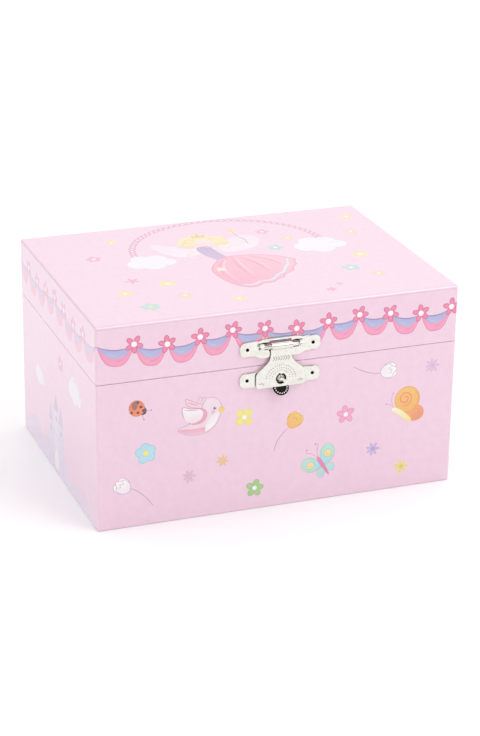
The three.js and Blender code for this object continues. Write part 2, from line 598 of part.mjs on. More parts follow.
function windingTrain() {
  const at = { x: MOVE_X, z: MOVE_Z };
  const pitchPlane = MOVE_Y + PINION_R;
  const root = pitchPlane + CROWN_ADDENDUM;
  const tip = pitchPlane - CROWN_ADDENDUM;
  const disc = bar("y", CROWN_R + 0.9, root, root + 1.3, at, 48);
  const tooth = new THREE.Shape([
    new THREE.Vector2(-0.44, root + 0.2), new THREE.Vector2(0.44, root + 0.2), new THREE.Vector2(0.2, tip),
    new THREE.Vector2(-0.2, tip),
  ]);
  const teeth = Array.from({ length: CROWN_TEETH }, (_, index) => {
    const one = slab(tooth, CROWN_R - 0.9, CROWN_R + 0.9);
    return one.rotateY((index / CROWN_TEETH) * Math.PI * 2).translate(MOVE_X, 0, MOVE_Z);
  });
  const wheelBore = bar("y", WINDING_ARBOR_R + FIT, root - 2, root + 3, at, 16);
  piece("drive_wheel", cut(joined(disc, ...teeth), wheelBore), brass);
  piece("winding_arbor", bar("y", WINDING_ARBOR_R, root, KEY_HUB_Y + 8, at, 16), steel);
  const hub = bar("y", KEY_HUB_R, KEY_HUB_Y, KEY_HUB_Y + KEY_HUB_LENGTH, at, 20);
  const wing = new THREE.Path();
  wing.moveTo(0.6, 9.6);
  wing.bezierCurveTo(6, 13, 11.5, 11, 11, 7);
  wing.bezierCurveTo(11.5, 2.5, 7, 0.5, 2.6, 0);
  const grip = slab(mirrored(wing, MOVE_X, 8), MOVE_Z - 1, MOVE_Z + 1);
  grip.translate(0, KEY_HUB_Y + 7.5, 0);
  const keyBore = bar("y", WINDING_ARBOR_R + 0.12, KEY_HUB_Y - CLEAR, KEY_HUB_Y + 8.2, at, 16);
  piece("winding_key", cut(joined(hub, grip), keyBore), zinc);
}

function cylinderTrain() {
  const at = { y: MOVE_Y, z: MOVE_Z };
  const cylinder = bar("x", CYLINDER_R, CYLINDER_X[0], CYLINDER_X[1], at, 32);
  const arbor = bar("x", ARBOR_R, MOVE_X + CROWN_R - 1, 66, at, 14);
  piece("tune_cylinder", joined(cylinder, arbor), brass);
  const bore = (from, to) => bar("x", ARBOR_R + 0.06, from, to, at, 14);
  const halfTooth = Math.PI / PINION_TEETH;
  const pinion = slab(gearShape(PINION_TEETH, PINION_R, PINION_TOOTH, halfTooth), 0, 2.1, "x");
  const pinionFrom = MOVE_X + CROWN_R - 0.95;
  pinion.translate(pinionFrom, MOVE_Y, MOVE_Z);
  piece("cylinder_pinion", cut(pinion, bore(pinionFrom - 1, pinionFrom + 3)), brass);
  const wheel = slab(gearShape(WHEEL_TEETH, WHEEL_R, WHEEL_TOOTH, Math.PI / 2), 64.6, 65.6, "x");
  piece("cylinder_wheel", cut(wheel.translate(0, MOVE_Y, MOVE_Z), bore(64, 67)), brass);
}

// The comb: a steel plate whose teeth end just short of the cylinder.
function comb() {
  const tips = MOVE_Z - CYLINDER_R - 0.35;
  const plate = boxBetween(COMB_X, [MOVE_Y - COMB_HALF_T, MOVE_Y + COMB_HALF_T], [4.4, tips]);
  const slots = [];
  for (let x = COMB_X[0] + COMB_PITCH; x < COMB_X[1] - COMB_PITCH / 2; x += COMB_PITCH) {
    const across = [x - COMB_SLOT / 2, x + COMB_SLOT / 2];
    slots.push(boxBetween(across, [MOVE_Y - CLEAR, MOVE_Y + CLEAR], [8.6, tips + CLEAR]));
  }
  piece("music_comb", cut(plate, ...slots), steel);
}

function governor() {
  const wallX = [70.1, 71.1];
  const armX = [66, 70.6];
  const wall = boxBetween(wallX, [MOVE_Y - 3, BEDPLATE_FRONT - GLUE], [22, 32.8]);
  const lowArm = boxBetween(armX, [WORM_Y - 2, WORM_Y + 2], [22.4, 23.6]);
  const highArm = boxBetween(armX, [WORM_Y - 1.8, STOP_ROD_Y + 2], [31.6, 32.8]);
  const wormLine = { x: WORM_X, y: WORM_Y };
  const holes = [
    bar("x", FINE_ARBOR_R + RUNNING, 69, 72, { y: MOVE_Y, z: GOVERNOR_Z }, 12),
    bar("z", FINE_ARBOR_R + RUNNING, 21, 34, wormLine, 12),
    bar("z", STOP_ROD_R + 0.2, 30, 34, { x: WORM_X, y: STOP_ROD_Y }, 12),
  ];
  piece("governor_frame", cut(joined(wall, lowArm, highArm), ...holes), zinc);

  const meshTurn = -Math.PI / 2 + Math.PI / GOVERNOR_TEETH;
  const pinion = slab(gearShape(GOVERNOR_TEETH, GOVERNOR_R, WHEEL_TOOTH, meshTurn), 64.4, 65.8, "x");
  const wormWheel = slab(gearShape(WORM_WHEEL_TEETH, WORM_WHEEL_R, WORM_WHEEL_TOOTH), WORM_X - 0.7, WORM_X + 0.7, "x");
  const hub = bar("x", 1.1, 65.6, WORM_X, {}, 12);
  const arbor = bar("x", FINE_ARBOR_R, 63, 70.9, {}, 12);
  const wheel = joined(pinion, wormWheel, hub, arbor).translate([0, MOVE_Y, GOVERNOR_Z]);
  piece("governor_wheel", wheel, nylon);

  class Helix extends THREE.Curve {
    getPoint(share) {
      const angle = Math.PI / 2 + (share - 0.5) * WORM_TURNS * Math.PI * 2;
      const rise = (share - 0.5) * WORM_TURNS * WORM_LEAD;
      return new THREE.Vector3(WORM_R * Math.cos(angle), WORM_R * Math.sin(angle), rise);
    }
  }
  const section = new THREE.Shape().absarc(0, 0, THREAD_R, 0, Math.PI * 2);
  const thread = new THREE.ExtrudeGeometry(section, { steps: 44, extrudePath: new Helix(), curveSegments: 2 });
  const core = bar("z", 1.28, -2.8, 2.8, {}, 12);
  const wormArbor = bar("z", FINE_ARBOR_R, -5.6, 10, {}, 12);
  const blades = boxBetween([-FAN_R, FAN_R], [-0.3, 0.3], [33.6 - GOVERNOR_Z, 38.4 - GOVERNOR_Z]);
  const fan = joined(thread, core, wormArbor, blades).translate([WORM_X, WORM_Y, GOVERNOR_Z]);
  piece("governor_fan", fan, nylon);
}

// The stop rod is held down by the closed lid. Raised, its pad leaves the fan free and the music plays.
function stopRod() {
  const at = { x: WORM_X, y: STOP_ROD_Y };
  const wire = bar("z", STOP_ROD_R, 28, CEILING_Z - 1.2, at, 12);
  const tip = new THREE.SphereGeometry(1.5, 12, 8).translate(at.x, at.y, CEILING_Z - 1.75);
  const pad = boxBetween([at.x - 1.6, at.x + 1.6], [at.y - 0.9, at.y + 0.9], [33.8, 36.2]);
  piece("stop_rod", joined(wire, tip, pad), steel);
}

// ---------------------------------------------------------------- dancer

function spindle() {
  const at = { x: MOVE_X, y: MOVE_Y };
  const halfTooth = Math.PI / 2 + Math.PI / PINION_TEETH;
  const pinion = slab(gearShape(PINION_TEETH, PINION_R, PINION_TOOTH, halfTooth), 0, 2.1);
  pinion.translate(MOVE_X, MOVE_Y, MOVE_Z + CROWN_R - 0.95);
  const shaft = bar("z", SPINDLE_R, MOVE_Z + CROWN_R - 0.5, 46, at, 14);
  piece("dancer_spindle", joined(pinion, shaft), nylon);
  const disc = bar("z", TURNTABLE_R, DECK_TOP + 0.6, DECK_TOP + 1.8, at, 32);
  const hub = bar("z", 2.6, DECK_TOP + 1.5, PIVOT_Z - SPRING_HALF - 0.3, at, 20);
  const bore = bar("z", SPINDLE_R + FIT, DECK_TOP, 46.2, at, 14);
  piece("turntable", cut(joined(disc, hub), bore), turntablePlastic);
}

// The bowed spring, as the solid that its coils fill: an arc that meets the turntable and the dancer's cup
// square on.
function dancerSpring(bowed) {
  const bend = rad(BOW);
  const arcR = SPRING_HALF / Math.tan(bend / 2);
  class Arc extends THREE.Curve {
    getPoint(share) {
      const angle = share * bend;
      return new THREE.Vector3(0, arcR * (Math.cos(angle) - 1), arcR * Math.sin(angle));
    }
  }
  const section = new THREE.Shape().absarc(0, 0, SPRING_R, 0, Math.PI * 2);
  const tube = new THREE.ExtrudeGeometry(section, { steps: 7, extrudePath: new Arc(), curveSegments: 5 });
  piece("dancer_spring", tube.translate(MOVE_X, MOVE_Y, PIVOT_Z - SPRING_HALF), steel);
  const cup = bar("z", SPRING_R, SPRING_HALF + 0.3, SPRING_HALF + 2.6, {}, 16);
  piece("spring_cup", cup, steel, bowed);
}

// The dancer stands on one pointe along her own axis, with the other foot at her knee and her arms in a
// ring overhead.
function dancer(bowed) {
  const v = (x, y, z) => new THREE.Vector3(x, y, z);
  const ball = (radius, x, y, z) => new THREE.SphereGeometry(radius, 8, 6).translate(x, y, z);
  const profile = [
    [0, 7.2], [1.9, 7.2], [1.9, 8], [0.75, 8.4], [0.95, 11], [1.35, 14], [1.15, 16], [1.75, 20], [2.7, 23.5], [2.5, 25.5],
    [2, 27.2], [2.3, 29], [2.9, 31.2], [2.6, 33.2], [1.15, 34.6], [1.05, 36.4], [0, 36.6],
  ].map(([radius, height]) => new THREE.Vector2(radius, height));
  const torso = new THREE.LatheGeometry(profile, 12).rotateX(Math.PI / 2);
  const knee = v(5.4, -2.6, 18.6);
  const parts = [
    torso,
    ball(2.9, 0, 0, 38.4),
    ball(1.45, 0, 0.6, 41.6),
    limb(v(1.2, -0.4, 23.4), knee, 1.75, 1.15),
    ball(1.2, knee.x, knee.y, knee.z),
    limb(knee, v(0.9, -0.9, 14.4), 1.1, 0.6),
  ];
  for (const side of [-1, 1]) {
    const shoulder = v(side * 2.7, 0, 32.9);
    const elbow = v(side * 6.2, -1, 38.6);
    const wrist = v(side * 3.6, -1.8, 44.2);
    const hand = v(side * 1.1, -2, 46);
    parts.push(limb(shoulder, elbow, 0.95, 0.8), ball(0.85, elbow.x, elbow.y, elbow.z));
    parts.push(limb(elbow, wrist, 0.8, 0.65), ball(0.7, wrist.x, wrist.y, wrist.z), limb(wrist, hand, 0.65, 0.5));
  }
  piece("dancer_figure", joined(...parts), dollSkin, bowed);
  const skirt = [[3, TUTU_S], [TUTU_R, TUTU_S - 1.6], [TUTU_R, TUTU_S - 0.6], [3, TUTU_S + 1.6], [3, TUTU_S]];
  const ring = skirt.map(([radius, height]) => new THREE.Vector2(radius, height));
  piece("dancer_tutu", new THREE.LatheGeometry(ring, 28).rotateX(Math.PI / 2), tulle, bowed);
}

// ---------------------------------------------------------------- assembly

carcass();
lidCarcass();
covers();
linings();
mirror();
compartments();
hinges();
haspPlate();
haspFlap();
catchPlate();
nails();
bedplate();
springBarrel();
windingTrain();
cylinderTrain();
comb();
governor();
stopRod();
spindle();

const bowed = new THREE.Group();
bowed.position.set(MOVE_X, MOVE_Y, PIVOT_Z);
bowed.rotation.x = rad(BOW);
box.add(bowed);
dancerSpring(bowed);
dancer(bowed);

export default box;
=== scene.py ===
"""The looks of a ballerina jewellery box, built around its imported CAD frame.

Sizes are in millimetres and turned into metres as each mesh is made. The front faces -Y and +Z is up.
"""
import bisect
import math

import bpy
import numpy as np
from mathutils import Matrix, Vector
from mathutils.geometry import delaunay_2d_cdt
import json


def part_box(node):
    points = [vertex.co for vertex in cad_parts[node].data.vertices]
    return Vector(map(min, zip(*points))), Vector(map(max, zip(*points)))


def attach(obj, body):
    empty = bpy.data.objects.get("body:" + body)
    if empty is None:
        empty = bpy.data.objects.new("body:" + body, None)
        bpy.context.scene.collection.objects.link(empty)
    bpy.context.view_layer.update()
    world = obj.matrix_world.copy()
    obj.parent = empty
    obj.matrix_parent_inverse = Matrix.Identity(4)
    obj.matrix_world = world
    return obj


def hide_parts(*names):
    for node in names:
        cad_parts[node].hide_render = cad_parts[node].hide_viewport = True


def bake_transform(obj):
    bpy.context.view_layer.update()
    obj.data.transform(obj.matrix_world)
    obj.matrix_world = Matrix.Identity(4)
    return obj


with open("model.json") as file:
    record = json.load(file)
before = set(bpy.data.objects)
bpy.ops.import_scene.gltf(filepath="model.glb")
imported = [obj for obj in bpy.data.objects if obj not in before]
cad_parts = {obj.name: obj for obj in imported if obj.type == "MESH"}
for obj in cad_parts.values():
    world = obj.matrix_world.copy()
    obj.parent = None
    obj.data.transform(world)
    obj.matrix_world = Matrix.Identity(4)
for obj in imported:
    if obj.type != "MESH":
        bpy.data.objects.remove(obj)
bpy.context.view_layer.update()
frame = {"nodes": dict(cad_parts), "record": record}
nodes = frame["nodes"]

MM = 0.001
TAU = 2 * math.pi


def corners(node):
    """The lowest and highest corners of a CAD node, in millimetres."""
    low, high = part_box(node)
    return Vector(low) / MM, Vector(high) / MM


def middle(node):
    """The middle of a CAD node's box, in millimetres."""
    low, high = corners(node)
    return (low + high) / 2


# ------------------------------------------------------------------ driving sizes, read from the frame

base_low, base_high = corners("base_paper")
lid_low, lid_high = corners("lid_paper")
HALF_X = base_high.x
HALF_Y = base_high.y
CORNER_R = 1.0
CORNER_STEPS = 4  # flats in each rounded corner and rim of a cover
RIM_R = 0.2
RIM_REACH = 0.17  # how far the rim of each cover stands past its CAD node, which leaves a thin seam
PAPER = 0.4
MOUTH_INSET = HALF_X - corners("base_lining")[1].x
KEY_AT = middle("winding_arbor")
KEY_HOLE_R = 2.4

# ------------------------------------------------------------------ colours


def linear(value):
    """One channel of a screen colour, from 0 to 1, as linear light."""
    return value / 12.92 if value <= 0.04045 else ((value + 0.055) / 1.055) ** 2.4


def colour(code):
    """A linear RGBA colour from six hex digits."""
    return tuple(linear(int(code[i : i + 2], 16) / 255) for i in (0, 2, 4)) + (1.0,)


INK_GAIN = 0.87  # an ink's reflectance as a share of the colour that it shows in the studio light


def print_ink(code):
    """The colour of a printed ink. The studio light lifts it to the colour in the six hex digits."""
    return tuple(INK_GAIN * channel for channel in colour(code)[:3]) + (1.0,)


PAPER_PINK = colour("E5C5D6")
ROSE = print_ink("F07BA6")
WHITE = print_ink("FDFAFB")
LILAC = print_ink("C9B6E2")
SKY = print_ink("ACDCEC")
LEMON = print_ink("F5E77E")
SUN = print_ink("F2C13F")
AMBER = print_ink("F5B45A")
LADYBIRD_RED = print_ink("F0703F")
LADYBIRD_DARK = print_ink("4A2B2A")
CLOUD = print_ink("F4F8FC")
GREY_LINE = print_ink("A9949F")

# ------------------------------------------------------------------ mesh helpers


def add_mesh(name, points, faces, looks, body, replaces=(), slot=None, face_looks=None, smooth=True):
    """Makes a piece from points in millimetres. looks is one material or a list of them."""
    mesh = bpy.data.meshes.new(name)
    mesh.from_pydata([Vector(p) * MM for p in points], [], [list(f) for f in faces])
    for look in looks if isinstance(looks, list) else [looks]:
        mesh.materials.append(look)
    if face_looks is not None:
        mesh.polygons.foreach_set("material_index", face_looks)
    mesh.validate()
    obj = bpy.data.objects.new(name, mesh)
    bpy.context.scene.collection.objects.link(obj)
    if smooth:
        mesh.polygons.foreach_set("use_smooth", [True] * len(mesh.polygons))
    if body:
        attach(obj, body)
    if replaces:
        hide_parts(*replaces)
    return obj


def apply_modifiers(obj):
    bpy.context.view_layer.update()
    shaped = bpy.data.meshes.new_from_object(obj.evaluated_get(bpy.context.evaluated_depsgraph_get()))
    obj.modifiers.clear()
    old = obj.data
    obj.data = shaped
    bpy.data.meshes.remove(old)
    return obj


def sharpen(obj, degrees):
    """Keeps the corners that are sharper than an angle crisp, and the rest smooth."""
    obj.data.set_sharp_from_angle(angle=math.radians(degrees))
    return obj


def bevelled(obj, width):
    """Rounds the sharp edges of a piece. The width is in millimetres."""
    sharp = 35
    bevel = obj.modifiers.new("bevel", "BEVEL")
    bevel.width = width * MM
    bevel.segments = 3
    bevel.limit_method = "ANGLE"
    bevel.angle_limit = math.radians(sharp)
    bevel.harden_normals = False
    return sharpen(apply_modifiers(obj), sharp)


def smooth_shaded(obj):
    obj.data.polygons.foreach_set("use_smooth", [True] * len(obj.data.polygons))
    return obj


def remeshed(obj, voxel):
    """Adds a voxel remesh to a piece, to be applied with what follows it. voxel is in metres."""
    remesh = obj.modifiers.new("remesh", "REMESH")
    remesh.mode = "VOXEL"
    remesh.voxel_size = voxel


def subdivided(obj):
    fine = obj.modifiers.new("fine", "SUBSURF")
    fine.levels = 1
    return apply_modifiers(obj)


def merged(*parts):
    """Joins several (points, faces) pairs into one."""
    points, faces = [], []
    for part_points, part_faces in parts:
        start = len(points)
        points += [tuple(p) for p in part_points]
        faces += [[start + i for i in face] for face in part_faces]
    return points, faces


def grid_faces(rows, columns, close_rows=False, close_columns=False):
    """The four-sided faces of a grid of points that is stored row by row."""
    faces = []
    for row in range(rows if close_rows else rows - 1):
        for column in range(columns if close_columns else columns - 1):
            right = (column + 1) % columns
            up = (row + 1) % rows
            faces.append(
                (row * columns + column, row * columns + right, up * columns + right, up * columns + column))
    return faces


def slab_between(low, high):
    """A block between its lowest and highest corners."""
    points = [(x, y, z) for x in (low[0], high[0]) for y in (low[1], high[1]) for z in (low[2], high[2])]
    faces = [(0, 1, 3, 2), (4, 6, 7, 5), (0, 4, 5, 1), (2, 3, 7, 6), (0, 2, 6, 4), (1, 5, 7, 3)]
    return points, faces


def ends(rows, columns):
    """The two end faces of a closed grid of points."""
    return [list(range(columns))[::-1], [(rows - 1) * columns + i for i in range(columns)]]


def lathe(profile, sides, turn=lambda p: p, closed=False):
    """Turns (radius, height) pairs about +Z. A closed profile is a ring; an open one has flat ends."""
    points = []
    for radius, height in profile:
        for side in range(sides):
            angle = TAU * side / sides
            points.append(turn(Vector((radius * math.cos(angle), radius * math.sin(angle), height))))
    faces = grid_faces(len(profile), sides, close_rows=closed, close_columns=True)
    if not closed:
        faces += ends(len(profile), sides)
    return points, faces


def tube(path, radii, sides, closed=False, flatten=1.0):
    """A round bar along a path of points. radii is one number or one for each point."""
    path = [Vector(p) for p in path]
    count = len(path)
    if not hasattr(radii, "__len__"):
        radii = [radii] * count
    points = []
    across = None
    for i, here in enumerate(path):
        ahead = path[(i + 1) % count] if closed or i < count - 1 else here
        behind = path[i - 1] if closed or i > 0 else here
        along = (ahead - behind).normalized()
        if across is None:
            across = along.orthogonal().normalized()
        across = (across - along * across.dot(along)).normalized()
        up = along.cross(across)
        for side in range(sides):
            angle = TAU * side / sides
            points.append(here + (across * math.cos(angle) + up * (flatten * math.sin(angle))) * radii[i])
    faces = grid_faces(count, sides, close_rows=closed, close_columns=True)
    if not closed:
        faces += ends(count, sides)
    return points, faces


def ball(radius, centre, rings, sides, stretch=(1, 1, 1)):
    """A round body with any three radii."""
    points = []
    for ring in range(1, rings):
        tilt = math.pi * ring / rings
        for side in range(sides):
            angle = TAU * side / sides
            points.append((
                centre[0] + radius * stretch[0] * math.sin(tilt) * math.cos(angle),
                centre[1] + radius * stretch[1] * math.sin(tilt) * math.sin(angle),
                centre[2] - radius * stretch[2] * math.cos(tilt)))
    faces = grid_faces(rings - 1, sides, close_columns=True)
    low, high = len(points), len(points) + 1
    points.append((centre[0], centre[1], centre[2] - radius * stretch[2]))
    points.append((centre[0], centre[1], centre[2] + radius * stretch[2]))
    last = (rings - 2) * sides
    for side in range(sides):
        faces.append((low, (side + 1) % sides, side))
        faces.append((high, last + side, last + (side + 1) % sides))
    return points, faces


def along(axis, at=(0, 0, 0), sign=1):
    """A function that lays what was made along +Z along another axis, about a point."""
    at = Vector(at)

    def place(p):
        p = Vector(p)
        if axis == "x":
            p = Vector((p.z * sign, p.x, p.y))
        elif axis == "y":
            p = Vector((p.y, p.z * sign, p.x))
        return p + at

    return place


# ------------------------------------------------------------------ outlines


def circle(centre, radius, count):
    return [
        (centre[0] + radius * math.cos(TAU * i / count), centre[1] + radius * math.sin(TAU * i / count))
        for i in range(count)]


def oval(centre, rx, ry, turn=0.0, count=22):
    """An ellipse, turned anticlockwise by an angle in degrees."""
    c, s = math.cos(math.radians(turn)), math.sin(math.radians(turn))
    out = []
    for i in range(count):
        x = rx * math.cos(TAU * i / count)
        y = ry * math.sin(TAU * i / count)
        out.append((centre[0] + c * x - s * y, centre[1] + s * x + c * y))
    return out


def smooth(points, steps=5, closed=True):
    """A curve through a few given points."""
    out = []
    count = len(points)
    spans = count if closed else count - 1
    for i in range(spans):
        if closed:
            p0, p1, p2, p3 = (Vector(points[(i + k) % count]) for k in (-1, 0, 1, 2))
        else:
            p0, p1, p2, p3 = (Vector(points[min(max(i + k, 0), count - 1)]) for k in (-1, 0, 1, 2))
        for step in range(steps):
            t = step / steps
            out.append(tuple(0.5 * (
                2 * p1 + (p2 - p0) * t + (2 * p0 - 5 * p1 + 4 * p2 - p3) * t * t
                + (3 * p1 - p0 - 3 * p2 + p3) * t ** 3)))
    if not closed:
        out.append(tuple(points[-1]))
    return out


def star(centre, radius, rays, inner, turn=90.0):
    """A star whose inner corners lie at a share of its radius. turn is the way of one ray, in degrees."""
    out = []
    for i in range(rays * 2):
        angle = math.radians(turn) + math.pi * i / rays
        reach = radius * (inner if i % 2 else 1)
        out.append((centre[0] + reach * math.cos(angle), centre[1] + reach * math.sin(angle)))
    return out


def brush(points, width, taper):
    """The outline of a brush stroke, fullest in its middle. It thins to a share of its width at both ends."""
    points = [Vector(p[:2]) for p in points]
    left, right = [], []
    count = len(points)
    for i, here in enumerate(points):
        way = points[min(i + 1, count - 1)] - points[max(i - 1, 0)]
        side = Vector((-way.y, way.x)).normalized()
        share = taper + (1 - taper) * math.sin(math.pi * i / (count - 1))
        left.append(tuple(here + side * (width * share / 2)))
        right.append(tuple(here - side * (width * share / 2)))
    return left + right[::-1]


class Pen:
    """Draws inks on a printed sheet, about an origin on it. A later ink covers an earlier one."""

    def __init__(self, inks, origin=(0, 0), turn=0.0, size=1.0):
        self.inks = inks
        self.origin = origin
        self.cos = math.cos(math.radians(turn)) * size
        self.sin = math.sin(math.radians(turn)) * size

    def place(self, p):
        return (
            self.origin[0] + self.cos * p[0] - self.sin * p[1],
            self.origin[1] + self.sin * p[0] + self.cos * p[1])

    def fill(self, outline, ink, fade=None, towards=(0, -1)):
        """One ink shape. fade is the colour that it turns into in the direction towards."""
        way = (self.cos * towards[0] - self.sin * towards[1], self.sin * towards[0] + self.cos * towards[1])
        self.inks.append(([self.place(p) for p in outline], ink, fade, way))

    def line(self, points, width, ink, taper=0.5):
        """A drawn line, cut into short strokes so that it may cross itself."""
        path = smooth(points, 4, closed=False) if len(points) > 2 else list(points)
        strip = brush(path, width, taper)
        half = len(strip) // 2
        left, right = strip[:half], strip[half:][::-1]
        for i in range(half - 1):
            self.fill([left[i], left[i + 1], right[i + 1], right[i]], ink)

    def framed(self, outline, ink, edge, width, fade=None, towards=(0, -1)):
        """An ink shape with a thin drawn edge of another colour."""
        count = len(outline)
        middle_x = sum(p[0] for p in outline) / count
        middle_y = sum(p[1] for p in outline) / count
        outwards = -1 if turns_right(outline) else 1
        grown = []
        for i, p in enumerate(outline):
            a, b = outline[i - 1], outline[(i + 1) % count]
            normal = Vector((b[1] - a[1], a[0] - b[0]))
            if normal.length == 0:
                normal = Vector((p[0] - middle_x, p[1] - middle_y))
            normal = normal.normalized() * outwards
            grown.append((p[0] + normal.x * width, p[1] + normal.y * width))
        self.fill(grown, edge)
        self.fill(outline, ink, fade, towards)


def turns_right(outline):
    """True if an outline runs clockwise."""
    total = 0.0
    for (ax, ay), (bx, by) in zip(outline, outline[1:] + outline[:1]):
        total += ax * by - bx * ay
    return total < 0


def winding(points, outline):
    """How many times an outline runs round each of the points, as an array."""
    total = np.zeros(len(points), dtype=int)
    x, y = points[:, 0], points[:, 1]
    for (ax, ay), (bx, by) in zip(outline, outline[1:] + outline[:1]):
        if ay == by:
            continue
        side = (bx - ax) * (y - ay) - (x - ax) * (by - ay)
        total += ((ay <= y) & (by > y) & (side > 0)).astype(int)
        total -= ((ay > y) & (by <= y) & (side < 0)).astype(int)
    return total


def cut_sheet(domain, lines, inks, holes=(), extra=()):
    """Cuts a flat sheet along every ink and line on it. Returns its points, triangles and each one's ink."""
    points, edges = [], []

    def loop(outline):
        start = len(points)
        points.extend(Vector(p[:2]) for p in outline)
        count = len(outline)
        edges.extend((start + i, start + (i + 1) % count) for i in range(count))

    loop(domain)
    for a, b in lines:
        edges.append((len(points), len(points) + 1))
        points.extend((Vector(a), Vector(b)))
    for hole in holes:
        loop(hole)
    for outline, *_ in inks:
        loop(outline)
    points.extend(Vector(p) for p in extra)
    cut_points, _, triangles, *_ = delaunay_2d_cdt(points, edges, [], 0, 1e-4, False)
    place = np.array([tuple(p) for p in cut_points])
    index = np.array([t for t in triangles if len(t) == 3])
    centres = place[index].mean(axis=1)
    size = np.cross(place[index[:, 1]] - place[index[:, 0]], place[index[:, 2]] - place[index[:, 0]])
    keep = (winding(centres, [tuple(p) for p in domain]) != 0) & (np.abs(size) > 1e-7)
    for hole in holes:
        keep &= winding(centres, [tuple(p) for p in hole]) == 0
    index, centres = index[keep], centres[keep]
    index[size[keep] < 0] = index[size[keep] < 0][:, ::-1]
    top = np.full(len(index), -1)
    for number, (outline, *_) in enumerate(inks):
        shape = np.array(outline)
        low, high = shape.min(axis=0), shape.max(axis=0)
        near = np.flatnonzero(np.all((centres >= low) & (centres <= high), axis=1))
        if len(near):
            inside = near[winding(centres[near], [tuple(p) for p in outline]) != 0]
            top[inside] = number
    return place, index, top


def ink_at(p, ink):
    """The colour of an ink at a point on the sheet, as a fading wash shows it."""
    outline, near, far, way = ink
    if far is None:
        return near
    reach = [q[0] * way[0] + q[1] * way[1] for q in outline]
    low, high = min(reach), max(reach)
    share = min(max((p[0] * way[0] + p[1] * way[1] - low) / (high - low), 0), 1)
    return tuple(a + (b - a) * share for a, b in zip(near, far))


def corner_colours(place, index, top, inks):
    """The colour at each corner of each triangle of a cut sheet: its ink's, or the bare paper's."""
    colours = []
    for triangle, number in zip(index, top):
        for corner in triangle:
            colours.append(PAPER_PINK if number < 0 else ink_at(place[corner], inks[number]))
    return colours


def washed(inks, share):
    """The same inks, mixed towards the paper by a share."""
    def wash(ink):
        return ink and tuple(a + (b - a) * share for a, b in zip(ink, PAPER_PINK))

    return [(outline, wash(near), wash(far), way) for outline, near, far, way in inks]


def closed_sheet(front, back, index):
    """A thick sheet from the points of its two sides and the triangles that they share."""
    count = len(front)
    faces = [list(t) for t in index] + [[i + count for i in t[::-1]] for t in index]
    edges = dict.fromkeys((a, b) for t in index for a, b in ((t[0], t[1]), (t[1], t[2]), (t[2], t[0])))
    faces += [[b, a, a + count, b + count] for a, b in edges if (b, a) not in edges]
    return front + back, faces


# ------------------------------------------------------------------ material helpers


class Graph:
    """A material's node tree, with short ways to add to it."""

    def __init__(self, name):
        self.material = bpy.data.materials.new(name)
        self.material.use_nodes = True
        self.tree = self.material.node_tree
        self.shader = self.tree.nodes["Principled BSDF"]
        self.coordinates = None

    def add(self, kind, **inputs):
        node = self.tree.nodes.new(kind)
        for name, value in inputs.items():
            self.set(node, name.replace("_", " "), value)
        return node

    def set(self, node, name, value):
        if isinstance(value, bpy.types.NodeSocket):
            self.tree.links.new(value, node.inputs[name])
        else:
            node.inputs[name].default_value = value

    def place(self, stretch=(1, 1, 1)):
        """Places on the piece, in millimetres, drawn out along each axis."""
        if self.coordinates is None:
            self.coordinates = self.add("ShaderNodeTexCoord").outputs["Object"]
        scaled = self.add("ShaderNodeMapping")
        scaled.inputs["Scale"].default_value = [s / MM for s in stretch]
        self.set(scaled, "Vector", self.coordinates)
        return scaled.outputs["Vector"]

    def noise(self, scale, detail, stretch=(1, 1, 1), roughness=0.5):
        """Cloudy noise. scale is in features for each millimetre."""
        node = self.add("ShaderNodeTexNoise", Vector=self.place(stretch), Scale=scale, Detail=detail)
        node.inputs["Roughness"].default_value = roughness
        return node.outputs["Fac"]

    def cells(self, scale, feature="F1"):
        """The distance to the nearest of scattered points, or to the edge between two of them."""
        node = self.add("ShaderNodeTexVoronoi", Vector=self.place(), Scale=scale)
        node.feature = feature
        return node.outputs["Distance"]

    def ramp(self, value, low, high, dark, light):
        """Turns a value between low and high into a colour or a number between dark and light."""
        is_colour = hasattr(dark, "__len__")
        node = self.tree.nodes.new("ShaderNodeMapRange")
        self.set(node, "Value", value)
        node.inputs["From Min"].default_value = low
        node.inputs["From Max"].default_value = high
        if not is_colour:
            node.inputs["To Min"].default_value = dark
            node.inputs["To Max"].default_value = light
            return node.outputs["Result"]
        return self.mix(node.outputs["Result"], dark, light)

    def mix(self, share, first, second, kind="MIX"):
        node = self.tree.nodes.new("ShaderNodeMix")
        node.data_type = "RGBA"
        node.blend_type = kind
        sockets = {"Factor": share, "A": first, "B": second}
        for socket in node.inputs:
            if socket.name in sockets and socket.type == ("VALUE" if socket.name == "Factor" else "RGBA"):
                value = sockets[socket.name]
                if isinstance(value, bpy.types.NodeSocket):
                    self.tree.links.new(value, socket)
                else:
                    socket.default_value = value
        return [s for s in node.outputs if s.type == "RGBA"][0]

    def spread(self, value, dark, light):
        """The ramp that fits cloudy noise, most of which lies between 0.3 and 0.7."""
        return self.ramp(value, 0.3, 0.7, dark, light)

    def math(self, operation, first, second):
        node = self.tree.nodes.new("ShaderNodeMath")
        node.operation = operation
        self.set_index(node, 0, first)
        self.set_index(node, 1, second)
        return node.outputs[0]

    def set_index(self, node, index, value):
        if isinstance(value, bpy.types.NodeSocket):
            self.tree.links.new(value, node.inputs[index])
        else:
            node.inputs[index].default_value = value

    def bump(self, height, depth, strength=1.0):
        """Surface relief from a height between 0 and 1. depth is in millimetres."""
        node = self.add("ShaderNodeBump", Height=height, Strength=strength, Distance=depth * MM)
        self.set(self.shader, "Normal", node.outputs["Normal"])

    def finish(self, **inputs):
        for name, value in inputs.items():
            self.set(self.shader, name.replace("_", " "), value)
        return self.material


def shade(rgba, factor):
    """A darker or lighter copy of a colour."""
    return tuple(channel * factor for channel in rgba[:3]) + (1.0,)


# ------------------------------------------------------------------ materials


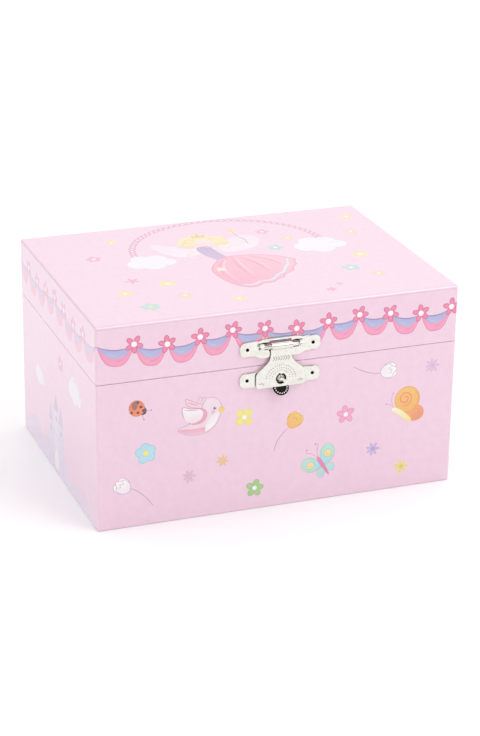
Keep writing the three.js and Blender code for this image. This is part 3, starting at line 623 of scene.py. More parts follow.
def printed_paper():
    """Offset-printed art paper under a clear satin film, laid over board that shows through very slightly."""
    g = Graph("printed_paper")
    ink = g.add("ShaderNodeVertexColor")
    ink.layer_name = "print"
    wash = g.spread(g.noise(0.35, 4), colour("FBF9FA"), colour("FFFFFF"))
    fibre = g.spread(g.noise(6, 3), colour("FCFAFB"), colour("FFFFFF"))
    tone = g.mix(1.0, g.mix(1.0, ink.outputs["Color"], wash, "MULTIPLY"), fibre, "MULTIPLY")
    rough = g.spread(g.noise(1.2, 3), 0.46, 0.56)
    board = g.noise(0.5, 2)
    grain = g.noise(9, 2)
    g.bump(g.math("ADD", g.math("MULTIPLY", board, 0.6), g.math("MULTIPLY", grain, 0.2)), 0.015, 0.5)
    return g.finish(Base_Color=tone, Roughness=rough, Coat_Weight=1.0, Coat_IOR=1.75, Coat_Roughness=0.2,
        Specular_IOR_Level=0.5)


def fibreboard():
    """Pressed grey board: short fibres and darker specks."""
    g = Graph("fibreboard")
    fibre = g.noise(2.2, 5, (1, 1, 0.35), 0.7)
    specks = g.ramp(g.cells(1.6), 0.05, 0.2, colour("8F7F6B"), colour("C9B79C"))
    tone = g.mix(0.55, g.spread(fibre, colour("A8937A"), colour("D2C0A4")), specks, "MULTIPLY")
    g.bump(fibre, 0.12, 0.5)
    return g.finish(Base_Color=tone, Roughness=g.spread(fibre, 0.8, 0.95))


def flocked(name, dark, light):
    """Short flock: a fine nap that leans in soft patches and lightens at grazing angles."""
    g = Graph(name)
    nap = g.noise(14, 2)
    lean = g.noise(0.12, 2)
    tone = g.mix(g.ramp(lean, 0.2, 0.8, 0.25, 0.85), dark, light)
    tone = g.mix(g.spread(nap, 0.35, 0.0), tone, shade(dark, 0.6))
    g.bump(nap, 0.12, 0.8)
    return g.finish(Base_Color=tone, Roughness=0.95, Sheen_Weight=0.7, Sheen_Roughness=0.4,
        Specular_IOR_Level=0.15)


def mirror_glass():
    g = Graph("mirror_glass")
    haze = g.ramp(g.noise(0.05, 3), 0.4, 0.7, 0.015, 0.04)
    tone = g.spread(g.noise(0.03, 2), colour("E4EAEC"), colour("EDF1F2"))
    return g.finish(Base_Color=tone, Metallic=1.0, Roughness=haze)


def plated(name, light, dark, rough, scratch=0.25):
    """Plated or drawn metal: light scuffs, fine scratches and slight tarnish."""
    g = Graph(name)
    tarnish = g.noise(0.6, 4)
    scuffs = g.noise(3, 3, (1, 1, 0.15), 0.7)
    tone = g.mix(g.ramp(tarnish, 0.35, 0.75, 0.0, 0.8), light, dark)
    g.bump(g.math("ADD", scuffs, g.noise(7, 2)), 0.01, scratch)
    return g.finish(Base_Color=tone, Metallic=1.0, Roughness=g.spread(scuffs, rough[0], rough[1]))


def cast_zinc():
    g = Graph("zinc_casting")
    pores = g.noise(5, 4, roughness=0.65)
    tone = g.spread(pores, colour("83878B"), colour("A9ADB0"))
    g.bump(pores, 0.06, 0.6)
    return g.finish(Base_Color=tone, Metallic=0.9, Roughness=g.spread(pores, 0.38, 0.55))


def moulded(name, light, dark, rough, glow=0.0):
    """Moulded plastic: faint flow marks and a fine orange-peel surface."""
    g = Graph(name)
    flow = g.noise(0.4, 3, (1, 1, 2.5))
    peel = g.noise(4, 2)
    tone = g.spread(flow, dark, light)
    g.bump(peel, 0.02, 0.4)
    return g.finish(
        Base_Color=tone, Roughness=g.spread(peel, rough - 0.05, rough + 0.07), Subsurface_Weight=glow,
        Subsurface_Scale=0.6 * MM, Coat_Weight=0.15, Coat_Roughness=0.25)


def painted_hair():
    """Moulded and painted hair with fine combed strands."""
    g = Graph("doll_hair")
    strands = g.noise(3.5, 4, (1, 1, 0.25), 0.6)
    tone = g.spread(strands, colour("6B4226"), colour("A9713F"))
    g.bump(strands, 0.12, 0.7)
    return g.finish(Base_Color=tone, Roughness=0.42, Coat_Weight=0.2, Coat_Roughness=0.3)


def satin(name, light, dark):
    """Woven satin: fine diagonal ribs and a soft sheen."""
    g = Graph(name)
    weave = g.add("ShaderNodeTexWave", Vector=g.place((1, 1, 0.6)), Scale=2.2, Distortion=0.6)
    weave.bands_direction = "DIAGONAL"
    tone = g.spread(g.noise(0.8, 3), dark, light)
    g.bump(weave.outputs["Fac"], 0.03, 0.5)
    return g.finish(Base_Color=tone, Roughness=0.38, Sheen_Weight=0.5, Sheen_Roughness=0.3, Anisotropic=0.4)


def net(name, light, dark):
    """Stiff nylon net: a see-through cloth with a fine thread pattern, and a faint painted glow."""
    g = Graph(name)
    threads = g.cells(3.2, "DISTANCE_TO_EDGE")
    tone = g.ramp(threads, 0.02, 0.1, light, dark)
    g.bump(threads, 0.05, 0.6)
    # The emission is a painted glow that stands in for light passing through the net.
    return g.finish(
        Base_Color=tone, Roughness=0.6, Sheen_Weight=0.6, Sheen_Roughness=0.4, Alpha=0.75,
        Emission_Color=tone, Emission_Strength=0.22)


def backing_paper():
    """The plain paper under the box, over the bottom board."""
    g = Graph("backing_paper")
    fibre = g.noise(5, 4, roughness=0.6)
    flecks = g.ramp(g.cells(0.9), 0.04, 0.12, colour("D9BFCB"), colour("F0DCE6"))
    tone = g.mix(0.5, g.spread(fibre, colour("EBD3DF"), colour("F5E2EC")), flecks, "MULTIPLY")
    g.bump(fibre, 0.04, 0.5)
    return g.finish(Base_Color=tone, Roughness=g.spread(fibre, 0.7, 0.85))


PRINT = printed_paper()
BOARD = fibreboard()
BACKING = backing_paper()
FLOCK = flocked("flock", colour("DE86A9"), colour("F0A9C4"))
ROLL_FLOCK = flocked("roll_flock", colour("EDB0C8"), colour("F9D3E0"))
MIRROR = mirror_glass()
GILT = plated("gilt_braid", colour("E7C778"), colour("A9803A"), (0.22, 0.38), 0.4)
NICKEL = plated("nickel_plate", colour("E6E5DE"), colour("D6D3C9"), (0.1, 0.18))
# A dark nickel: the colour of the nail heads, and painted shade and painted dark reflection on the hasp.
DARK_NICKEL_AND_PAINTED_SHADE = plated("dark_nickel_and_painted_shade", colour("1D1A19"), colour("0E0C0C"), (0.25, 0.4))
# Painted shade: a darker nickel laid in the pressed grooves of the flap's ornament.
PAINTED_GROOVE_SHADE = plated("nickel_painted_groove_shade", colour("B5B2A9"), colour("9E9B92"), (0.3, 0.4))
STEEL = plated("steel", colour("C4C8CB"), colour("8D9296"), (0.2, 0.36))
BRASS = plated("brass", colour("DDB35C"), colour("9A7434"), (0.2, 0.34))
ZINC = cast_zinc()
NYLON = moulded("nylon", colour("F6F3EA"), colour("E6E1D3"), 0.45, 0.1)
TURNTABLE = moulded("turntable_plastic", colour("FFFFFF"), colour("EFEAF0"), 0.3)
SKIN = moulded("doll_skin", colour("F6D3BD"), colour("EFC3AA"), 0.45, 0.15)
HAIR = painted_hair()
BODICE = satin("bodice_satin", colour("F6A6C4"), colour("E588AE"))
SLIPPER = satin("slipper_satin", colour("F9C3D6"), colour("EFA9C3"))
TULLE = net("tulle", colour("FBD0E0"), colour("F3A9C6"))
FEATURE = moulded("face_paint", colour("6A4030"), colour("5A3428"), 0.4)
LIPS = moulded("lip_paint", colour("D9707F"), colour("CE6474"), 0.35)

# ------------------------------------------------------------------ unrolled covers


class Wrap:
    """The upright sides of a box with rounded corners, unrolled. u runs from the middle of the front."""

    def __init__(self, half_x, half_y, radius):
        self.half = (half_x, half_y)
        self.radius = radius
        self.arc = math.pi * radius / 2
        self.flat = (half_x - radius, half_y - radius)
        self.pitch = sum(self.flat) + self.arc
        self.start = -self.pitch - self.flat[1]
        self.end = 3 * self.pitch - self.flat[1]

    def columns(self):
        """Where the sheet bends round the corners."""
        out = []
        for side in range(-1, 3):
            bend = side * self.pitch + self.flat[side % 2]
            out.append(bend - 2 * self.flat[side % 2])
            out += [bend + self.arc * i / CORNER_STEPS for i in range(CORNER_STEPS)]
        return out + [self.end]

    def point(self, u, inset):
        """A place on the sheet and the way that it faces, after the sheet is moved inwards by inset."""
        side = -1
        while side < 2 and u > side * self.pitch + self.flat[side % 2] + self.arc:
            side += 1
        out = (Vector((0, -1)), Vector((1, 0)), Vector((0, 1)), Vector((-1, 0)))[side % 4]
        onward = Vector((-out.y, out.x))
        shrink = max(self.radius, inset)
        reach, depth = self.half[side % 2] - shrink, self.half[1 - side % 2] - shrink
        a = u - side * self.pitch
        flat = self.flat[side % 2]
        if a <= flat:
            place = onward * (a * reach / flat) + out * (depth + shrink - inset)
            return place, out
        angle = (a - flat) / self.radius
        way = out * math.cos(angle) + onward * math.sin(angle)
        return onward * reach + out * depth + way * max(self.radius - inset, 0), way


class Climb:
    """How a cover's section runs up the side, over its rims and inwards. v equals z on the upright part."""

    def __init__(self, low, high, low_inset, high_inset, low_r, high_r):
        self.knots = []
        quarter = math.pi / 2
        foot = low + low_r - quarter * low_r
        if low_inset > low_r:
            self.knots.append((foot - (low_inset - low_r), low_inset, low, -quarter))
        angles = [quarter * i / CORNER_STEPS for i in range(CORNER_STEPS + 1)]
        for angle in angles:
            inset = low_r * (1 - math.sin(angle))
            height = low + low_r * (1 - math.cos(angle))
            self.knots.append((foot + low_r * angle, inset, height, angle - quarter))
        head = high - high_r
        for angle in angles:
            inset = high_r * (1 - math.cos(angle))
            height = head + high_r * math.sin(angle)
            self.knots.append((head + high_r * angle, inset, height, angle))
        if high_inset > high_r:
            self.knots.append((head + quarter * high_r + high_inset - high_r, high_inset, high, quarter))

    def at(self, v):
        """How far in, how high, and how far tilted upwards the section is at v."""
        place = bisect.bisect_left([k[0] for k in self.knots], v - 1e-6)
        place = min(max(place, 1), len(self.knots) - 1)
        before, after = self.knots[place - 1], self.knots[place]
        share = min(max((v - before[0]) / (after[0] - before[0]), 0), 1)
        return [a + (b - a) * share for a, b in zip(before[1:], after[1:])]


def printed_piece(name, parts, replaced, body):
    """Makes a cover from parts. Each is (points, normals, triangles, colours for each corner)."""
    points, normals, faces, colours = [], [], [], []
    for part_points, part_normals, part_faces, part_colours in parts:
        start = len(points)
        points += part_points
        normals += part_normals
        faces += [[start + i for i in face] for face in part_faces]
        colours += part_colours
    mesh = bpy.data.meshes.new(name)
    mesh.from_pydata([Vector(p) * MM for p in points], [], faces)
    mesh.materials.append(PRINT)
    layer = mesh.color_attributes.new("print", "FLOAT_COLOR", "CORNER")
    layer.data.foreach_set("color", [channel for c in colours for channel in c])
    mesh.polygons.foreach_set("use_smooth", [True] * len(mesh.polygons))
    mesh.normals_split_custom_set_from_vertices([Vector(n).normalized() for n in normals])
    obj = bpy.data.objects.new(name, mesh)
    bpy.context.scene.collection.objects.link(obj)
    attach(obj, body)
    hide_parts(replaced)
    return obj


def sleeve(wrap, climb, inks, holes=()):
    """The printed outside of a cover, bent round its corners and rims."""
    low, high = climb.knots[0][0], climb.knots[-1][0]
    domain = [(wrap.start, low), (wrap.end, low), (wrap.end, high), (wrap.start, high)]
    lines = [((u, low), (u, high)) for u in wrap.columns()[1:-1]]
    lines += [((wrap.start, knot[0]), (wrap.end, knot[0])) for knot in climb.knots[1:-1]]
    around = wrap.end - wrap.start
    repeated = list(inks)
    for outline, near, far, way in inks:
        if max(p[0] for p in outline) > wrap.end:
            repeated.append(([(p[0] - around, p[1]) for p in outline], near, far, way))
        if min(p[0] for p in outline) < wrap.start:
            repeated.append(([(p[0] + around, p[1]) for p in outline], near, far, way))
    place, index, top = cut_sheet(domain, lines, repeated, holes)
    points, normals = [], []
    for u, v in place:
        inset, z, tilt = climb.at(v)
        spot, way = wrap.point(u, inset)
        points.append((spot.x, spot.y, z))
        normals.append((way.x * math.cos(tilt), way.y * math.cos(tilt), math.sin(tilt)))
    return points, normals, index.tolist(), corner_colours(place, index, top, repeated)


def ring_rows(wrap, rows):
    """Plain paper between rings at the given (inset, z) places, facing the inside of the cover."""
    columns = wrap.columns()[:-1]
    points, normals, faces, colours = [], [], [], []
    for (inset0, z0), (inset1, z1) in zip(rows, rows[1:]):
        run, rise = inset1 - inset0, z1 - z0
        length = math.hypot(run, rise)
        start = len(points)
        for inset, z in ((inset0, z0), (inset1, z1)):
            for u in columns:
                spot, way = wrap.point(u, inset)
                points.append((spot.x, spot.y, z))
                normals.append((way.x * rise / length, way.y * rise / length, run / length))
        count = len(columns)
        for i in range(count):
            after = (i + 1) % count
            faces.append([start + i, start + after, start + count + after, start + count + i])
            colours += [PAPER_PINK] * 4
    return points, normals, faces, colours


def flat_panel(half_x, half_y, z, inks, up=1):
    """A level printed panel that faces up, or down if up is -1."""
    domain = [(-half_x, -half_y), (half_x, -half_y), (half_x, half_y), (-half_x, half_y)]
    place, index, top = cut_sheet(domain, [], inks)
    if up < 0:
        index = index[:, ::-1]
    points = [(x, y, z) for x, y in place]
    return points, [(0, 0, up)] * len(points), index.tolist(), corner_colours(place, index, top, inks)


# ------------------------------------------------------------------ printed motifs


def blossom(pen, centre, radius, petals, ink, heart, edge, heart_r=0.24, turn=90.0, heart_edge=None,
    slim=0.8):
    """A flower of separate round petals, with a drawn edge if edge is a colour. slim narrows its petals."""
    long = radius * 0.4
    wide = radius * math.sin(math.pi / petals) * 0.82 * slim
    spots = []
    for i in range(petals):
        angle = turn + 360 * i / petals + 7 * math.sin(5 * i + turn)
        way = (math.cos(math.radians(angle)), math.sin(math.radians(angle)))
        reach = radius - long
        spots.append((centre[0] + reach * way[0], centre[1] + reach * way[1], angle))
    if edge:
        for x, y, angle in spots:
            pen.fill(oval((x, y), long + 0.28, wide + 0.28, angle, 14), edge)
    for x, y, angle in spots:
        pen.fill(oval((x, y), long, wide, angle, 14), ink)
    pen.fill(circle(centre, radius * max(heart_r + 0.06, 0.3), 14), heart_edge or ink)
    pen.fill(circle(centre, radius * heart_r, 12), heart)


def ladybird(pen):
    """A ladybird seen from above, with its head at the lower right."""
    pen.fill(oval((2.3, -1.3), 1.7, 1.9, 30), LADYBIRD_DARK)
    pen.framed(oval((0, 0), 3.1, 3.3, 20), LADYBIRD_RED, print_ink("C9523A"), 0.15, print_ink("F5854E"),
        (0.5, -1))
    pen.fill(smooth([(-2.0, 1.8), (-0.4, 3.1), (0.5, 1.7), (-0.4, -0.5), (-1.8, 0.0)], 4),
        print_ink("946556"))
    for x, y, r in (
            (0.5, 2.4, 0.6), (1.7, 0.4, 0.65), (0.5, -1.9, 0.62), (-2.1, -1.6, 0.55), (2.7, -1.2, 0.6)):
        pen.fill(circle((x, y), r, 10), LADYBIRD_DARK)
    pen.line([(2.6, -2.6), (2.4, -3.9), (2.9, -4.9)], 0.22, GREY_LINE)
    pen.line([(3.3, -1.7), (4.6, -1.4), (5.8, -1.5)], 0.22, GREY_LINE)
    pen.fill(circle((2.9, -5.1), 0.35, 8), GREY_LINE)
    pen.fill(circle((6.0, -1.5), 0.35, 8), GREY_LINE)


def bird(pen):
    """A little pink bird in flight, drawn with a thin line and a few washes."""
    line = print_ink("BE8FA3")
    upper = smooth([(-6.4, 7.9), (-5.6, 5.4), (-3.6, 4.4), (0.6, 3.6), (1.4, 4.6), (-1.6, 5.8), (-4.2, 7.0)])
    pen.framed(upper, print_ink("F7D5E1"), line, 0.2)
    pen.line([(-5.6, 6.6), (-3.6, 5.7), (-1.0, 4.9)], 0.5, print_ink("F0A3B8"))
    body = smooth([
        (-9.4, -4.6), (-6.5, -6.7), (-2.6, -7.5), (2.2, -7.0), (5.6, -4.8), (7.4, -1.8), (8.4, 1.6),
        (7.9, 5.0), (5.6, 7.2), (2.6, 7.4), (0.9, 5.0), (0.0, 2.0), (-2.6, -1.6), (-5.6, -3.0)])
    pen.framed(body, print_ink("EFD6E3"), line, 0.2, print_ink("F4E0EA"), (1, 1))
    pen.fill(smooth([(-9.0, -4.7), (-6.0, -6.6), (-2.0, -7.2), (1.8, -6.7), (2.6, -5.0), (0.4, -4.8),
        (-3.6, -5.0)]), print_ink("F2A9BD"), print_ink("F6BFCF"))
    pen.fill(smooth([(2.0, -6.5), (4.8, -4.8), (6.8, -1.8), (7.4, 0.8), (5.2, 0.6), (3.0, -2.0),
        (1.9, -4.6)]), WHITE, print_ink("F3E6EE"), (-1, 1))
    wing = smooth([
        (-7.6, 4.6), (-4.4, 3.8), (-0.6, 3.5), (1.9, 2.2), (2.2, -0.4), (0.2, -2.6), (-3.4, -2.9),
        (-6.2, -1.0), (-7.6, 1.8)])
    pen.framed(wing, print_ink("EDA0B6"), line, 0.18, print_ink("F3B9CA"), (-1, 1))
    pen.fill(smooth([
        (-7.5, 4.3), (-4.2, 3.5), (-0.8, 3.1), (0.8, 1.6), (0.2, -0.8), (-1.8, -2.1), (-4.6, -2.3),
        (-6.8, -0.4)]), WHITE, print_ink("F3E3EC"))
    pen.line([(-7.2, 3.8), (-4.4, 3.1), (-1.2, 2.9)], 0.25, line)
    pen.line([(-1.4, 6.6), (-0.8, 8.2), (0.6, 8.0)], 0.22, line)
    pen.line([(0.2, 6.0), (0.6, 7.6), (2.2, 8.0)], 0.22, line)
    pen.framed(smooth([(7.6, 2.6), (8.6, 3.0), (9.7, 2.0), (8.9, 0.9), (8.0, 0.5), (7.5, 1.4)]), SUN, AMBER,
        0.12, LEMON)
    pen.fill(circle((5.7, 2.8), 0.62, 12), print_ink("7C5563"))
    pen.fill(circle((5.9, 3.0), 0.2, 8), WHITE)
    pen.fill(circle((4.9, 1.2), 0.9, 12), print_ink("F3C2D2"))


def tulip(inks, centre, turn, ink, edge, stem, fade):
    """A closed tulip. turn leans its head; stem is the line that its stalk follows, from the head."""
    Pen(inks).line(stem, 0.36, print_ink("C2A2B8"), 0.6)
    pen = Pen(inks, centre, turn)
    for x in (-1, 1):
        pen.framed(smooth([(0.2 * x, 1.0), (1.5 * x, 3.4), (3.0 * x, 2.2), (3.3 * x, 0.0),
            (1.8 * x, -2.0)]), ink, edge, 0.2, fade)
    pen.framed(smooth([
        (-2.9, 0.8), (-1.7, 1.9), (0.0, 3.6), (1.7, 1.9), (2.9, 0.8), (2.5, -1.6), (0.9, -3.2), (-0.9, -3.2),
        (-2.5, -1.6)]), ink, edge, 0.2, fade)
    pen.line([(-1.6, 1.7), (-0.8, 0.4), (0.0, 1.6), (0.9, 0.5), (1.7, 1.6)], 0.22, edge)


def butterfly(pen):
    """Drawn with its body upright and turned by the pen."""
    rim, line = print_ink("9FDCC8"), print_ink("DDB9B4")
    for side, grow in ((1, 1.0), (-1, 0.98)):
        def wing(points):
            return [(side * x * grow, y * grow) for x, y in smooth(points)]

        lower = wing([(0.4, -0.8), (2.6, -1.2), (4.1, -2.4), (3.6, -4.4), (2.0, -4.8), (0.6, -3.0)])
        pen.framed(lower, print_ink("BCE5D8"), line, 0.16, SKY)
        upper = wing([(0.3, 1.4), (1.4, 4.4), (3.8, 6.8), (6.9, 6.6), (8.0, 3.8), (6.6, 0.9), (3.6, -0.7),
            (0.5, -0.6)])
        pen.framed(upper, rim, line, 0.18, print_ink("BDE6D2"), (side, 1))
        inner = wing([(0.7, 1.4), (2.0, 4.0), (4.0, 5.8), (6.2, 5.2), (6.9, 3.2), (5.6, 1.1), (3.2, 0.1),
            (0.9, 0.0)])
        pen.fill(inner, print_ink("A5DCF0"), print_ink("BFEAF0"), (side, 1))
        eye = (side * 4.5 * grow, 3.0 * grow)
        pen.fill(circle(eye, 2.0, 18), print_ink("8CCBE0"))
        pen.fill(circle(eye, 1.7, 18), LEMON)
        pen.fill(circle(eye, 0.95, 14), print_ink("F6C9A0"))
        pen.fill(circle((eye[0] + 0.2, eye[1] + 0.2), 0.5, 12), print_ink("F5E9A8"))
        pen.line([(side * 0.3, 3.6), (side * 0.9, 6.4), (side * 3.0, 9.0), (side * 2.2, 9.8)], 0.2,
            print_ink("C98FAE"))
        pen.fill(circle((side * 2.1, 9.8), 0.34, 8), print_ink("B583A6"))
    pen.framed(smooth([(0, 4.4), (0.62, 2.8), (0.7, -1.0), (0.1, -5.6), (-0.6, -1.0), (-0.62, 2.8)]),
        print_ink("F07FB0"), print_ink("C25A8C"), 0.12)


def snail(pen):
    """A snail with a fluted tail under its shell, about the middle of the shell."""
    body, tip, line = print_ink("F5B454"), print_ink("F08A63"), print_ink("E0924A")
    pen.framed(smooth([
        (-1.2, -3.4), (2.2, -2.8), (5.4, -3.4), (7.2, -5.4), (7.0, -8.0), (4.8, -9.6), (2.0, -9.4),
        (0.2, -7.0)]), body, line, 0.2, tip, (0.6, -1))
    pen.line([(2.4, -5.2), (4.6, -4.6), (5.8, -6.2), (5.2, -8.2)], 0.36, tip)
    pen.framed(oval((0, 0), 5.4, 5.5, 20, 28), body, line, 0.22, print_ink("F7C25B"), (-0.4, 1))
    pen.line([(3.4, 3.6), (4.8, 1.0), (4.4, -2.2), (2.6, -4.4)], 0.5, print_ink("EE9C4C"))
    turns = []
    for i in range(17):
        angle = math.radians(250 + 40 * i)
        reach = 3.3 - 0.17 * i
        turns.append((-1.0 + reach * math.cos(angle), 0.5 + reach * math.sin(angle)))
    pen.line(turns, 0.6, print_ink("EE8468"), 0.5)
    pen.framed(smooth([
        (-6.6, -3.2), (-5.2, -3.0), (-2.6, -4.4), (0.0, -6.6), (1.9, -8.8), (1.2, -9.7), (-1.6, -8.0),
        (-4.4, -5.8), (-6.5, -4.4)]), print_ink("FDF6E2"), print_ink("E8C27C"), 0.14, LEMON, (1, -1))
    for points in ([(-5.8, -3.0), (-7.4, -1.4), (-9.4, -0.9)], [(-6.0, -2.8), (-7.0, 0.4), (-6.4, 3.4)]):
        pen.line(points, 0.22, print_ink("C99BB5"))
        pen.fill(circle(points[-1], 0.34, 8), print_ink("C99BB5"))


def sparkle(pen, ink, radius, rays, heart=None):
    """A small daisy of thin petals, one for each ray."""
    for i in range(rays):
        angle = 360 * i / rays + 9 * math.sin(7 * i)
        way = (math.cos(math.radians(angle)), math.sin(math.radians(angle)))
        reach = radius * (0.52 + 0.05 * math.sin(3 * i))
        pen.fill(oval((way[0] * reach, way[1] * reach), radius * 0.46, radius * 0.2, angle, 10), ink)
    pen.fill(circle((0, 0), radius * 0.26, 10), heart or ink)


def swag(pen, left, right):
    """One hanging loop of the garland, between two flowers: a rose scarf under a blue one."""
    def sag(depth, power, spread=1.0):
        out = []
        steps = 14
        for i in range(steps + 1):
            t = -1 + 2 * i / steps
            x = (left[0] + right[0]) / 2 + t * spread * (right[0] - left[0]) / 2
            line = left[1] + (right[1] - left[1]) * (t + 1) / 2
            out.append((x, line - 0.4 - depth * (1 - abs(t) ** power)))
        return out

    pen.fill(sag(8.6, 3.0) + sag(4.3, 2.2)[::-1], print_ink("EB7FA8"))
    pen.fill(sag(8.2, 3.0, 0.95) + sag(4.3, 2.2, 0.95)[::-1], print_ink("F391B5"), print_ink("F59BBC"),
        (0.4, -1))
    pen.fill(sag(7.4, 2.6, 0.86)[1:7] + sag(6.9, 2.6, 0.86)[1:7][::-1], print_ink("F6A6C3"))
    pen.fill(sag(6.6, 2.5, 0.9)[7:14] + sag(6.2, 2.5, 0.9)[7:14][::-1], print_ink("EC84AB"))
    pen.fill(sag(5.2, 2.2) + sag(1.7, 2.0)[::-1], print_ink("A6A6D4"), print_ink("B2B8E2"))
    pen.fill(sag(4.3, 2.2, 0.8)[2:8] + sag(3.9, 2.2, 0.8)[2:8][::-1], print_ink("BCC5EA"))
    pen.fill(sag(2.2, 2.0) + sag(1.6, 2.0)[::-1], print_ink("9C87B6"))


HANG = (77.4, 75.8, 77.1, 78.35)  # heights of the garland's flowers, in turn
GARLAND_END = 78.7


def garland(inks, at, half, first, last, pitch):
    """The garland along one side, from corner to corner. Its flowers hang between first and last."""
    spots = [(at - half + 0.4, GARLAND_END)]
    spot = first
    while spot < last:
        spots.append((at + spot, HANG[(len(spots) - 1) % 4]))
        spot += pitch
    pen = Pen(inks)
    hooks = list(spots)
    if at + half - spots[-1][0] > 4:
        hooks.append((at + half, GARLAND_END))
    for left, right in zip(hooks, hooks[1:]):
        swag(pen, left, right)
    for i, place in enumerate(spots[1:]):
        turn = (60, 100, 92, 74)[i % 4]
        blossom(pen, place, 3.6, 5, print_ink("EF7BA6"), WHITE, print_ink("CC5787"), 0.32, turn, None, 0.5)


def cloud(pen, puffs):
    """A cloud of round puffs, each (x, y, radius)."""
    for x, y, r in puffs:
        pen.fill(circle((x, y), r + 0.35, 20), print_ink("DCEBF5"))
    for x, y, r in puffs:
        pen.fill(circle((x, y), r, 20), CLOUD)
    for x, y, r in puffs[1:4]:
        arc = [(x + 0.6 * r * math.cos(a), y + 0.6 * r * math.sin(a)) for a in (0.4, 1.1, 1.8, 2.5)]
        pen.line(arc, 0.4, print_ink("CFE3F2"))


def castle(pen):
    """A small fairground castle: three towers with pointed roofs and a gate."""
    for x, w, foot, top, ink, roof in (
            (-10.5, 5, 0, 19, print_ink("D5DCF0"), LILAC), (5.0, 5.5, 0, 22, print_ink("D5DCF0"), LILAC),
            (-2.5, 10, 0, 14, print_ink("E4DFF2"), None),
            (-2.2, 5, 12, 26, print_ink("D9E4F4"), print_ink("BFB0DC"))):
        pen.framed([(x - w / 2, foot), (x + w / 2, foot), (x + w / 2, top), (x - w / 2, top)], ink,
            print_ink("B9B5D6"), 0.2)
        if roof:
            pen.framed([(x - w / 2 - 0.8, top), (x + w / 2 + 0.8, top), (x, top + w * 1.5)], roof,
                print_ink("A89BCB"), 0.2)
            pen.fill(oval((x, top - 3.4), 0.9, 1.5), print_ink("9FA6D0"))
    pen.framed(smooth([(-5, 0.2), (-5, 6), (-2.5, 9), (0, 6), (0, 0.2)], 3), WHITE, LILAC, 0.3)
    for x in (-8, -5.4, -2.8, 0, 2.4):
        pen.fill([(x - 0.8, 14), (x + 0.8, 14), (x + 0.8, 15.6), (x - 0.8, 15.6)], print_ink("D0CBE6"))


def hills(pen, width, height, ink, far):
    """A low range of hills that fades upwards into the far colour."""
    pen.fill(smooth([
        (-width, -1), (-width, height * 0.5), (-width * 0.5, height), (-width * 0.1, height * 0.55),
        (width * 0.4, height * 0.8), (width, height * 0.3), (width, -1)], 6), ink, far)


def chain_arch(pen, centre, rx, ry, start, stop, pitch):
    """A rainbow-shaped chain of small drawn loops."""
    length, angle = 0.0, math.radians(start)
    step = 0.002
    while angle < math.radians(stop):
        x, y = centre[0] + rx * math.cos(angle), centre[1] + ry * math.sin(angle)
        if length <= 0:
            way = math.degrees(math.atan2(ry * math.cos(angle), -rx * math.sin(angle)))
            pen.fill(oval((x, y), pitch * 0.62, 1.55, way + 28, 16), print_ink("E08FB4"))
            pen.fill(oval((x, y), pitch * 0.36, 0.85, way + 28, 12), print_ink("F5D3E3"))
            length = pitch
        angle += step
        length -= step * math.hypot(rx * math.sin(angle), ry * math.cos(angle))


